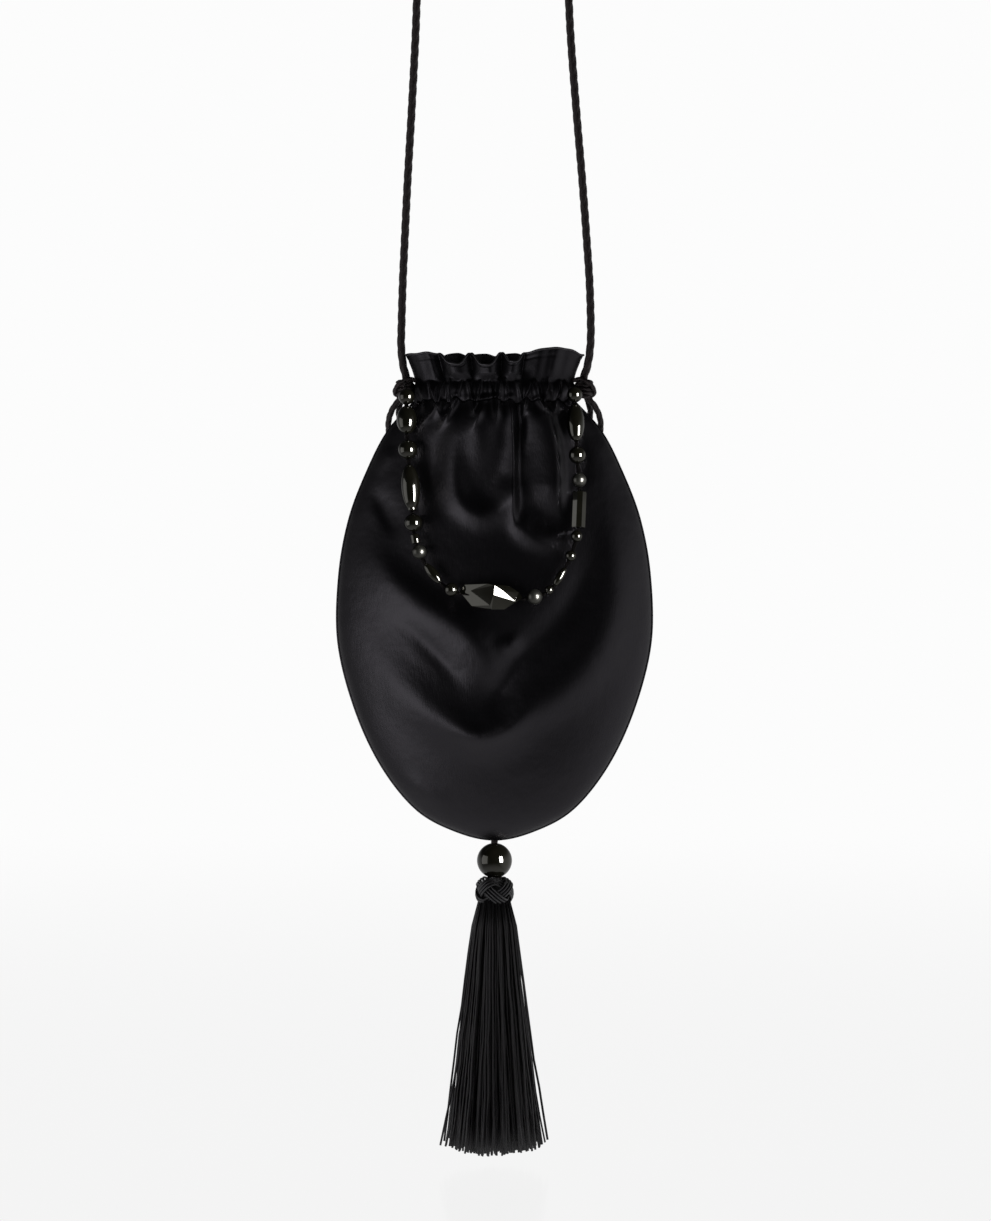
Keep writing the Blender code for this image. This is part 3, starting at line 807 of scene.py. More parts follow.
@dataclass
class SideKnots:
    """The knots at the casing's ends: cord wound round, with one turn over the top."""

    cord: float = 2.7 * MM
    turn_length: float = 0.014
    wraps: float = 4.6
    barrel: float = 1.1
    core: tuple[float, float, float] = (0.74, 0.74, 0.86)
    step: float = 0.7 * MM
    # the slanting turn, in halves of the knot's size from its middle, outwards first
    crossing: tuple[tuple[float, float, float], ...] = (
        (-1.70, 0.30, 0.50), (-1.15, -0.45, 0.70), (-0.45, -0.98, 0.80), (0.25, -1.10, 0.55),
        (0.85, -0.85, 0.10), (1.05, -0.20, -0.40), (0.70, 0.45, -0.70),
    )

    def build(self, material: bpy.types.Material) -> None:
        """Both knots.

        Args:
            material: their finish.
        """
        for name, side in (("left", -1), ("right", 1)):
            node = f"side_knot_{name}"
            middle, size = middle_of(node)
            mesh = new_mesh()
            self.wind(mesh, middle, size, side)
            self.cross(mesh, middle, size, side)
            add_piece(f"{node}_wound", mesh, material, Slot.CORD, (node,))

    def wind(self, mesh: bmesh.types.BMesh, middle: Vector, size: Vector, side: int) -> None:
        """Wind the turns round the knot's barrel, over a filled core.

        Args:
            mesh: the mesh to add to.
            middle: the knot's middle.
            size: the knot's size.
            side: -1 for the left knot and 1 for the right one.
        """
        share = np.linspace(0.0, 1.0, 160)
        turn = 2 * math.pi * self.wraps * share * side + math.pi / 2
        height = (0.5 - share) * (size.z - self.cord)
        bulge = np.sqrt(1 - (self.barrel * height / size.z) ** 2)
        reach = (size.x - self.cord) / 2 * bulge
        points = np.stack([middle.x + reach * np.cos(turn), middle.y + reach * np.sin(turn),
                           middle.z + height], axis=1)
        add_cord(mesh, even_route(points, self.step), Lay(self.cord, turn_length=self.turn_length))
        core = bmesh.ops.create_uvsphere(mesh, u_segments=16, v_segments=10, radius=0.5)["verts"]
        bmesh.ops.scale(mesh, vec=[share * span for share, span in zip(self.core, size)], verts=core)
        bmesh.ops.translate(mesh, vec=middle, verts=core)

    def cross(self, mesh: bmesh.types.BMesh, middle: Vector, size: Vector, side: int) -> None:
        """Lay the slanting turn that comes from the casing over the barrel's front.

        Args:
            mesh: the mesh to add to.
            middle: the knot's middle.
            size: the knot's size.
            side: -1 for the left knot and 1 for the right one.
        """
        half = size / 2
        points = smooth_rows(tuple(
            (middle.x + side * a * half.x, middle.y + b * half.y, middle.z + c * half.z)
            for a, b, c in self.crossing), 12)
        add_cord(mesh, even_route(points, self.step), Lay(self.cord, turn_length=self.turn_length))


@dataclass(frozen=True)
class Fold:
    """A fold of a panel: a ridge along a route, or a valley where its rise is negative.

    The route holds (across, down) from the middle of the lower casing stitch. Right
    and left are its widths to either side of the way it runs, all in millimetres.
    Start and end are the shares of its route over which it fades in and out.
    """

    route: Route
    rise: float
    right: float
    left: float
    start: float = 0.25
    end: float = 0.25
    point: float = 2.0


FRONT_FOLDS = (
    Fold(((-6, -5), (-8, 14), (-9, 34), (-9, 54)), 6.8, 12.5, 13.0, 0.02, 0.65),
    Fold(((-15, 0), (-21, 12), (-24, 28), (-23, 46), (-18, 59), (-8, 66), (2, 63), (8, 54),
          (10, 42)), 2.8, 7.0, 7.0, 0.2, 0.12),
    Fold(((-6, -5), (-8, 6), (-14, 21)), 3.4, 2.4, 2.2, 0.02, 0.6, 1.5),
    Fold(((9, -5), (10.2, 20), (10.4, 48), (10.8, 76)), 5.2, 6.0, 1.3, 0.02, 0.25, 1.4),
    Fold(((15, -3), (14.6, 14), (15.5, 36)), -3.6, 3.0, 3.0, 0.05, 0.6),
    Fold(((26, -5), (33, 22), (35, 42), (34, 58), (31, 70)), 6.6, 13.0, 3.0, 0.05, 0.3),
    Fold(((11, 60), (14, 70), (21, 77), (29, 80), (36, 77), (40, 69)), 3.2, 6.5, 6.5, 0.3, 0.5),
    Fold(((-31, -4), (-36, 7), (-44, 17)), 3.4, 3.0, 2.4, 0.02, 0.7, 1.6),
    Fold(((-22, -4), (-28, 12), (-35, 21)), 3.2, 3.0, 2.2, 0.02, 0.7, 1.6),
    Fold(((-36, 14), (-36, 40), (-34, 72)), -2.6, 8.0, 7.0, 0.4, 0.5),
    Fold(((-71, 46), (-65, 58), (-54, 80)), -2.6, 4.5, 6.5, 0.4, 0.5),
    Fold(((-79, 70), (-64, 98), (-42, 117), (-19, 131), (-5, 148), (-6, 172)),
         4.6, 14.0, 10.0, 0.3, 0.3),
    Fold(((-58, 121), (-44, 134), (-30, 148), (-15, 168)), -1.3, 5.0, 5.0, 0.4, 0.4),
    Fold(((-80, 130), (-62, 155), (-43, 172), (-24, 185), (-9, 191), (6, 187), (20, 176),
          (38, 166), (54, 152), (66, 132), (72, 108), (72, 84), (70, 62), (66, 44)),
         4.6, 12.0, 12.0, 0.25, 0.2),
    Fold(((-34, 180), (-21, 187), (-9, 191), (4, 188), (16, 180), (28, 171)),
         1.7, 4.5, 6.0, 0.4, 0.4),
    Fold(((-4, 182), (2, 166), (12, 150), (26, 136), (42, 118), (54, 94), (58, 66)),
         -2.8, 8.0, 9.0, 0.15, 0.4),
    Fold(((6, 132), (12, 146)), 2.4, 6.0, 6.0, 0.5, 0.5),
    Fold(((43, 10), (46, 30), (50, 56)), -2.4, 5.0, 7.0, 0.3, 0.5),
    Fold(((58, 14), (66, 34), (72, 56)), 2.2, 6.0, 5.0, 0.4, 0.5),
    Fold(((-58, 24), (-64, 34), (-72, 42)), 2.0, 6.0, 5.0, 0.4, 0.5),
    Fold(((-58, 208), (-42, 222), (-22, 233)), 1.7, 6.0, 6.0, 0.45, 0.5),
)

BACK_FOLDS = (
    Fold(((22, -4), (25, 20), (20, 44), (10, 62)), 3.6, 8.0, 6.0, 0.02, 0.4),
    Fold(((-16, -4), (-18, 22), (-14, 50), (-10, 78)), 3.8, 6.0, 8.0, 0.02, 0.4),
    Fold(((2, -4), (2, 20), (4, 44)), -3.0, 6.0, 6.0, 0.1, 0.5),
    Fold(((-34, 0), (-42, 24), (-54, 52)), -2.6, 7.0, 7.0, 0.2, 0.5),
    Fold(((36, 0), (46, 24), (58, 50)), -2.4, 7.0, 7.0, 0.2, 0.5),
    Fold(((-74, 70), (-60, 104), (-36, 132), (-8, 152), (20, 158)), 4.4, 11.0, 14.0, 0.3, 0.4),
    Fold(((76, 62), (70, 100), (52, 136), (24, 164), (-2, 182)), 4.6, 14.0, 11.0, 0.3, 0.3),
    Fold(((-50, 140), (-30, 164), (-8, 184)), -3.0, 9.0, 9.0, 0.4, 0.3),
    Fold(((40, 84), (34, 108), (16, 128)), -3.0, 13.0, 13.0, 0.4, 0.4),
)


def fold_height(folds: tuple[Fold, ...], x: np.ndarray, down: np.ndarray) -> np.ndarray:
    """How far a panel's folds push it outwards.

    Args:
        folds: the panel's folds.
        x: distance across from the middle, in metres.
        down: distance down from the lower casing stitch, in metres.

    Returns:
        The push at each place, in metres.
    """
    height = np.zeros_like(x)
    for fold in folds:
        route = smooth_rows(fold.route, 4) * MM
        lengths = np.concatenate([[0.0], np.cumsum(np.linalg.norm(np.diff(route, axis=0), axis=1))])
        nearest = np.full_like(x, np.inf)
        side = np.zeros_like(x)
        along = np.zeros_like(x)
        for index, (start, end) in enumerate(zip(route, route[1:])):
            line = end - start
            share = np.clip(((x - start[0]) * line[0] + (down - start[1]) * line[1])
                            / (line @ line), 0.0, 1.0)
            off_x = x - start[0] - share * line[0]
            off_down = down - start[1] - share * line[1]
            distance = np.hypot(off_x, off_down)
            closer = distance < nearest
            nearest = np.where(closer, distance, nearest)
            side = np.where(closer, line[0] * off_down - line[1] * off_x, side)
            along = np.where(closer, lengths[index] + share * (lengths[index + 1] - lengths[index]),
                             along)
        along = along / lengths[-1]
        hand = 0.5 + 0.5 * np.tanh(side / (np.linalg.norm(route[-1] - route[0]) * 0.0004))
        width = (fold.left + (fold.right - fold.left) * hand) * MM
        ends = (smooth_step(0.0, max(fold.start, 1e-3), along)
                * smooth_step(0.0, max(fold.end, 1e-3), 1.0 - along))
        height += fold.rise * MM * ends * np.exp(-(nearest / width) ** fold.point)
    return height


@dataclass
class SilkBag:
    """The satin bag: two seamed panels, a gathered casing and its frill."""

    width: float = 0.180
    depth: float = 0.050
    body_height: float = 0.250
    casing_height: float = 0.0100
    frill_height: float = 0.0169
    neck_width: float = 0.0835
    neck_depth: float = 0.0280
    frill_width: float = 0.0955
    frill_depth: float = 0.0290
    cloth: float = 1.0 * MM
    gather_depth: float = 0.0042
    casing_swell: float = 2.3 * MM
    casing_reach: float = 3.4 * MM
    hang_drop: float = 0.3460
    seam_cord: float = 1.5 * MM
    bead_clearance: float = 0.35 * MM
    press_softness: float = 0.8 * MM
    press_skirt: float = 1.6
    front_faces: tuple[int, int] = (252, 180)
    back_faces: tuple[int, int] = (150, 140)
    top_faces: tuple[int, int] = (560, 46)
    seed: int = 7
    # level, neck, width, depth, pinch, gather: shares as in the frame's own rings
    rings: tuple[tuple[float, ...], ...] = (
        (0.00, 1.00, 0.000, 0.000, 1.00, 0.81), (0.07, 0.67, 0.330, 0.235, 1.05, 0.72),
        (0.16, 0.40, 0.600, 0.460, 1.15, 0.38), (0.27, 0.17, 0.832, 0.700, 1.25, 0.16),
        (0.40, 0.02, 0.972, 0.900, 1.30, 0.04), (0.55, 0.00, 0.988, 1.000, 1.30, 0.00),
        (0.70, 0.00, 0.884, 0.930, 1.28, 0.00), (0.83, 0.00, 0.718, 0.730, 1.22, 0.00),
        (0.93, 0.00, 0.496, 0.460, 1.15, 0.00), (0.98, 0.00, 0.248, 0.230, 1.12, 0.00),
        (1.00, 0.00, 0.000, 0.000, 1.10, 0.00),
    )
    # centre as a share of half the width, half width, rise, lean down the casing
    front_pleats: tuple[tuple[float, ...], ...] = (
        (-0.90, 0.026, 1.6, 0.06), (-0.76, 0.032, 2.4, 0.08), (-0.66, 0.018, 1.4, -0.05),
        (-0.53, 0.026, 2.7, 0.03), (-0.44, 0.018, 1.3, -0.05), (-0.30, 0.026, 2.6, 0.05),
        (-0.20, 0.018, 2.4, -0.04), (-0.04, 0.016, 1.5, 0.02), (0.06, 0.026, 3.0, -0.02),
        (0.15, 0.016, 1.6, 0.03), (0.31, 0.026, 2.4, 0.05), (0.41, 0.018, 2.6, -0.06),
        (0.53, 0.026, 2.6, 0.05), (0.64, 0.020, 2.0, -0.04), (0.78, 0.028, 2.0, -0.05),
        (0.89, 0.024, 1.4, 0.05),
    )
    # the frill's flutes: edges as shares of half the rim, then bulge and dip of each
    front_flutes: tuple[tuple[float, ...], ...] = (
        (-1.00, -0.63, 4.2, -0.6), (-0.63, -0.27, 7.6, 6.2), (-0.27, 0.08, 7.8, 6.4),
        (0.08, 0.34, 6.6, 5.0), (0.34, 1.00, 5.2, -3.2),
    )
    back_flutes: tuple[tuple[float, ...], ...] = (
        (-1.00, -0.62, 4.0, -0.6), (-0.62, -0.30, 6.0, -1.6), (-0.30, 0.02, 6.5, -1.2),
        (0.02, 0.36, 6.0, -1.8), (0.36, 0.66, 6.0, -2.0), (0.66, 1.00, 4.0, -1.6),
    )
    flute_root: float = 3.6
    flute_lean: float = 0.92
    rim_drop: float = 0.9
    rim_ripple: float = 0.8
    rim_wave: float = 0.5 * MM
    frill_share: float = 0.60
    flare_bend: float = 1.4
    flare_draw: float = 0.4 * MM
    fold_fade: float = 0.42
    # the hem's stitch: its place up the frill, its width and its depth
    hem_stitch: tuple[float, float, float] = (0.80, 0.035, 0.28 * MM)
    hem_cord: float = 1.3 * MM
    # ranges of the pleats' random measures: reach below and above the casing, then the
    # back pleats' own shift, width, rise and lean
    pleat_reach: tuple[float, float] = (0.7, 1.9)
    pleat_lift: tuple[float, float] = (0.05, 0.35)
    back_pleats: int = 17
    back_shift: float = 0.03
    back_width: tuple[float, float] = (0.02, 0.032)
    back_rise: tuple[float, float] = (1.1, 2.1)
    back_lean: float = 0.1
    creases: int = 14
    crease_width: float = 0.0042
    pucker_depth: float = 1.3 * MM
    # how far the lower stitch's pucker reaches down and up
    pucker_reach: tuple[float, float] = (9 * MM, 4 * MM)
    seam_draw: float = 0.35
    draw_reach: float = 7 * MM
    welt_step: float = 1.1 * MM
    welt_wave: float = 0.08 * MM
    beads: list[BeadPlace] = field(default_factory=list)

    @property
    def casing_low(self) -> float:
        """Height of the lower casing stitch."""
        return -self.casing_height / 2 - self.hang_drop

    def ring_shares(self, turn: np.ndarray) -> tuple[np.ndarray, np.ndarray, np.ndarray]:
        """Shares of a ring at each turn from 0 to 1.

        Args:
            turn: place round the ring, from the right seam round the back.

        Returns:
            The share across from -1 to 1, the side (1 for the back and -1 for the front)
            and the bulge.
        """
        half = np.mod(turn * 2, 1.0)
        half = np.where((half == 0.0) & (turn >= 1.0), 1.0, half)
        across = 0.5 * np.cos(math.pi * half) + 0.5 * (1 - 2 * half)
        side = np.where(turn < 0.5, 1.0, -1.0)
        across = np.where(turn >= 1.0, -1.0, across)
        return side * across, side, np.sqrt(np.clip(1 - across * across, 0.0, 1.0))

    def ring(self, turn: np.ndarray, half_width: np.ndarray, half_depth: np.ndarray,
             pinch: np.ndarray) -> tuple[np.ndarray, ...]:
        """Points and outward directions of a ring.

        Args:
            turn: place round the ring, from the right seam round the back.
            half_width: half the ring's width.
            half_depth: half its depth.
            pinch: how sharp its side seams are.

        Returns:
            x, y, and the outward direction's x and y.
        """
        across, side, rise = self.ring_shares(turn)
        x = across * half_width
        y = side * rise ** pinch * half_depth
        out_x = x / np.maximum(half_width, 1e-6) ** 2
        out_y = y / np.maximum(half_depth, 1e-6) ** 2
        size = np.maximum(np.hypot(out_x, out_y), 1e-9)
        return x, y, out_x / size, out_y / size

    def gathers(self, turn: np.ndarray, height: np.ndarray) -> np.ndarray:
        """Push of the narrow pleats that the drawstring draws in.

        Args:
            turn: place round the bag.
            height: height above the lower casing stitch, negative below it.

        Returns:
            The push at each place, in metres.
        """
        across, side, _ = self.ring_shares(turn)
        draw = np.random.default_rng(self.seed)
        push = np.zeros_like(turn)
        span = height / self.casing_height
        for front in (True, False):
            table = self.front_pleats
            if not front:
                centres = np.linspace(-0.9, 0.9, self.back_pleats)
                centres += draw.uniform(-self.back_shift, self.back_shift, self.back_pleats)
                table = [(centre, draw.uniform(*self.back_width), draw.uniform(*self.back_rise),
                          draw.uniform(-self.back_lean, self.back_lean)) for centre in centres]
            here = side < 0 if front else side > 0
            for centre, width, rise, lean in table:
                reach = draw.uniform(*self.pleat_reach)
                lift = draw.uniform(*self.pleat_lift)
                line = centre + lean * (0.5 - span)
                line = np.where(span < 0, line + centre * 0.10 * span, line)
                fade = smooth_step(-reach, -0.1, span) * (1 - smooth_step(1.0, 1.0 + lift, span))
                broad = width * (1 + 0.9 * np.clip(-span, 0.0, 3.0))
                push += here * rise * MM * fade * np.exp(-(np.abs(across - line) / broad) ** 1.3)
        for _ in range(self.creases):
            centre, rise = draw.uniform(0.0, 1.0), draw.uniform(0.4, 1.1)
            top, low = draw.uniform(0.7, 1.1), draw.uniform(-0.5, 0.3)
            fade = smooth_step(low - 0.35, low, span) * (1 - smooth_step(top, top + 0.15, span))
            distance = np.abs(np.mod(turn - centre + 0.5, 1.0) - 0.5)
            push += rise * MM * fade * np.exp(-(distance / self.crease_width) ** 1.4)
        return push

    def pucker(self, turn: np.ndarray) -> np.ndarray:
        """How far the lower stitch is drawn down at each place round the bag."""
        wave = beat(turn, (17, 0.7), (6, 2.0)) + 0.6 * np.sin(2 * math.pi * turn * 29 + 2.1)
        return self.pucker_depth * (wave - 0.4)

    def press(self, x: np.ndarray, y: np.ndarray, z: np.ndarray) -> np.ndarray:
        """Depth of the front panel once the beads have pressed it back.

        Args:
            x, y, z: the panel's points.

        Returns:
            The new y of each point.
        """
        soft = self.press_softness
        for middle, axis, half_length, radius in self.beads:
            off = np.stack([x - middle.x, z - middle.z], axis=1)
            flat = np.array([axis.x, axis.z])
            reach_flat = np.linalg.norm(flat)
            line = flat / reach_flat
            along = np.clip(off @ line, -half_length, half_length)
            distance = np.hypot(off[:, 0] - along * line[0], off[:, 1] - along * line[1])
            seat = np.where(distance < radius, np.sqrt(np.clip(radius ** 2 - distance ** 2, 0, None)),
                            self.press_skirt * (radius - distance))
            limit = middle.y + along * axis.y / reach_flat + seat + self.bead_clearance
            y = y + soft * np.logaddexp(0.0, np.clip((limit - y) / soft, -40, 40))
        return y

    def body_rings(self) -> np.ndarray:
        """The body's rings, smoothed from the neck down to the point."""
        table = smooth_rows(self.rings, 24, mirrored_end=True)
        table[-1, 2:4] = 0.0
        table[:, 2:4] = np.maximum(table[:, 2:4], 0.0)
        return table

    def body_place(self, front: bool) -> Surface:
        """The function that places one panel's points.

        Args:
            front: whether it is the front panel.

        Returns:
            The function.
        """
        table = self.body_rings()
        folds = FRONT_FOLDS if front else BACK_FOLDS
        side = -1.0 if front else 1.0

        def place(across: np.ndarray, down: np.ndarray) -> np.ndarray:
            """Points of the panel.

            Args:
                across: shares of its width.
                down: shares of its height, from the neck.

            Returns:
                The points.
            """
            at = down * (len(table) - 1)
            level, neck, width, depth, pinch, gather = (
                np.interp(at, np.arange(len(table)), table[:, column]) for column in range(6))
            half_width = (neck * self.neck_width + width * self.width) / 2
            half_depth = (neck * self.neck_depth + depth * self.depth) / 2
            turn = 0.5 + across / 2 if front else np.minimum((1 - across) / 2, 0.49999999)
            half_width = half_width + self.gather_depth * gather
            x, y, out_x, out_y = self.ring(turn, half_width, half_depth, pinch)
            push = self.gathers(turn, -level * self.body_height)
            x = x + out_x * push
            y = y + out_y * push
            shape = np.clip(np.abs(y) / np.maximum(half_depth, 1e-6), 0.0, 1.0)
            below = level * self.body_height
            drawn = 1 - (1 - self.seam_draw) * np.exp(-(below / self.draw_reach) ** 2)
            y = y + side * shape * drawn * fold_height(folds, x, below)
            puckered = self.pucker(turn) * np.exp(-(below / self.pucker_reach[0]) ** 2)
            z = self.casing_low - below + puckered
            if front:
                y = self.press(x, y, z)
            return np.stack([x, y, z], axis=1)

        return place

    def flutes(self, turn: np.ndarray) -> tuple[np.ndarray, np.ndarray]:
        """How far the frill's flutes stand out and hang down, in millimetres.

        Args:
            turn: place round the rim.

        Returns:
            The bulge and the dip at each place.
        """
        across, side, _ = self.ring_shares(turn)
        bulge = np.zeros_like(turn)
        dip = np.zeros_like(turn)
        for flutes, here in ((self.front_flutes, side < 0), (self.back_flutes, side > 0)):
            for low, high, out, drop in flutes:
                share = np.clip((across - low) / (high - low), 0.0, 1.0)
                inside = here & (across >= low) & (across <= high)
                wave = np.sin(math.pi * share)
                bulge += inside * (out * wave ** 0.7 - self.flute_root)
                dip += inside * (self.rim_drop + drop * smooth_step(0.12, 0.98, wave))
        uneven = 0.6 + 0.4 * np.sin(2 * math.pi * turn * 7)
        bulge += self.rim_ripple * uneven * np.sin(2 * math.pi * turn * 19 + 0.4)
        return bulge, dip

    def top_place(self, turn: np.ndarray, down: np.ndarray) -> np.ndarray:
        """Points of the frill and the casing, from the rim down.

        Args:
            turn: places round the bag.
            down: shares of the way from the rim to the lower stitch.

        Returns:
            The points.
        """
        lift = np.clip(1 - down / self.frill_share, 0.0, 1.0)
        span = 1 - np.clip((down - self.frill_share) / (1 - self.frill_share), 0.0, 1.0)
        _, side, rise = self.ring_shares(turn)
        puff = 0.75 + 0.45 * beat(turn, (25, 0.0), (8, 1.0))
        swell = puff * self.casing_swell * np.sin(math.pi * np.clip(span, 0.0, 1.0)) ** 0.8
        swell = np.where(lift > 0, 0.0, swell)
        flare = lift ** self.flare_bend
        half_width = (self.neck_width + (self.frill_width - self.neck_width) * flare) / 2
        half_width = half_width + self.casing_reach - self.flare_draw * flare
        half_depth = (self.neck_depth + (self.frill_depth - self.neck_depth) * flare) / 2
        x, y, out_x, out_y = self.ring(turn, half_width, half_depth, 1.0)
        height = np.where(lift > 0, self.casing_height + lift * self.frill_height,
                          span * self.casing_height)
        push = self.gathers(turn, height) + swell
        bulge, dip = self.flutes(turn)
        lean = self.flute_lean * smooth_step(-0.08, 0.42, lift) * smooth_step(0.0, 0.12, lift)
        x = x + out_x * push
        y = y + out_y * push + side * rise ** 0.5 * bulge * MM * lean
        z = self.casing_low + height - dip * MM * lift ** 1.6
        z = z + self.rim_wave * beat(turn, (11, 1.3), (5, 0.0)) * lift
        z = z + self.pucker(turn) * np.exp(-(height / self.pucker_reach[1]) ** 2)
        drawn = self.seam_draw * (1 - smooth_step(0.0, self.fold_fade, span))
        y = y + np.where(side < 0, -1.0, 1.0) * rise * drawn * np.where(
            side < 0, fold_height(FRONT_FOLDS, x, -height), fold_height(BACK_FOLDS, x, -height))
        place, width, deep = self.hem_stitch
        hem = np.exp(-((lift - place) / width) ** 2) * deep
        x, y = x - out_x * hem, y - out_y * hem
        return np.stack([x, y, z], axis=1)

    def build(self, material: bpy.types.Material, gathered: bpy.types.Material,
              wrong_side: bpy.types.Material, hem: bpy.types.Material) -> None:
        """Both panels, the top, its hem and the seam.

        Args:
            material: the satin of the body.
            gathered: the satin of the casing and the frill.
            wrong_side: the satin's inner face. It is duller than the satin, and its lighter colour
                paints the light that falls into the frill's mouths.
            hem: the finish of the rolled hem, a lighter copy of the satin whose colour paints a
                highlight along the rim.
        """
        for name, front, faces in (("front", True, self.front_faces),
                                   ("back", False, self.back_faces)):
            mesh = new_mesh()
            add_grid(mesh, *faces, self.body_place(front), (self.width, self.body_height), weld=True)
            self.face_out(mesh, -1.0 if front else 1.0)
            piece = add_piece(f"bag_{name}_panel", mesh, material, Slot.SATIN, ("pouch",), closed=False)
            self.thicken(piece, wrong_side)
        mesh = new_mesh()
        perimeter = 2 * (self.neck_width + self.neck_depth)
        add_grid(mesh, *self.top_faces, self.top_place,
                 (perimeter, self.casing_height + self.frill_height), weld=True)
        bmesh.ops.recalc_face_normals(mesh, faces=mesh.faces)
        piece = add_piece("bag_casing_and_frill", mesh, gathered, Slot.SATIN, ("pouch",), closed=False)
        self.thicken(piece, wrong_side)
        self.roll_hem(hem)
        self.sew_seam(material)

    def roll_hem(self, material: bpy.types.Material) -> None:
        """The narrow rolled hem along the frill's rim.

        Args:
            material: its finish, glossier than the satin and lighter in colour; the lighter colour is a
                painted highlight along the rim.
        """
        around = np.linspace(0.0, 1.0, 720)
        rim = self.top_place(around, np.zeros_like(around))
        mesh = new_mesh()
        add_cord(mesh, rim, Lay.smooth(self.hem_cord, 8))
        add_piece("frill_rolled_hem", mesh, material, Slot.SATIN, ("pouch",))

    def face_out(self, mesh: bmesh.types.BMesh, side: float) -> None:
        """Turn a panel's faces to its own side of the bag.

        Args:
            mesh: the panel.
            side: -1 for the front panel and 1 for the back one.
        """
        mesh.normal_update()
        total = sum(face.normal.y * face.calc_area() for face in mesh.faces)
        if total * side < 0:
            bmesh.ops.reverse_faces(mesh, faces=mesh.faces)

    def thicken(self, piece: bpy.types.Object, wrong_side: bpy.types.Material) -> None:
        """Give a cloth piece its thickness, inwards.

        Args:
            piece: the cloth.
            wrong_side: the finish of its inner face, whose lighter colour is painted light.
        """
        shell = piece.modifiers.new("cloth", "SOLIDIFY")
        shell.thickness = self.cloth
        shell.offset = -1.0
        piece.data.materials.append(wrong_side)
        shell.material_offset = 1

    def sew_seam(self, material: bpy.types.Material) -> None:
        """The thin welt along both sides and the point.

        Args:
            material: its finish.
        """
        table = self.body_rings()
        half_width = (table[:, 1] * self.neck_width + table[:, 2] * self.width) / 2
        half_width = half_width + self.gather_depth * table[:, 5]
        z = self.casing_low - table[:, 0] * self.body_height
        right = np.stack([half_width, np.zeros_like(z), z], axis=1)
        left = right[::-1] * np.array([-1, 1, 1])
        route = even_route(np.vstack([right[:-1], left]), self.welt_step)
        route[:, 1] += self.welt_wave * np.sin(np.arange(len(route)) * 1.9)
        mesh = new_mesh()
        add_cord(mesh, route, Lay.smooth(self.seam_cord, 10))
        add_piece("bag_side_seam", mesh, material, Slot.SATIN, ("pouch",))


@dataclass(frozen=True)
class Bead:
    """One bead of the handle: its cut, length, thickness and whether it is dull."""

    form: Form
    length: float
    diameter: float
    dull: bool = False


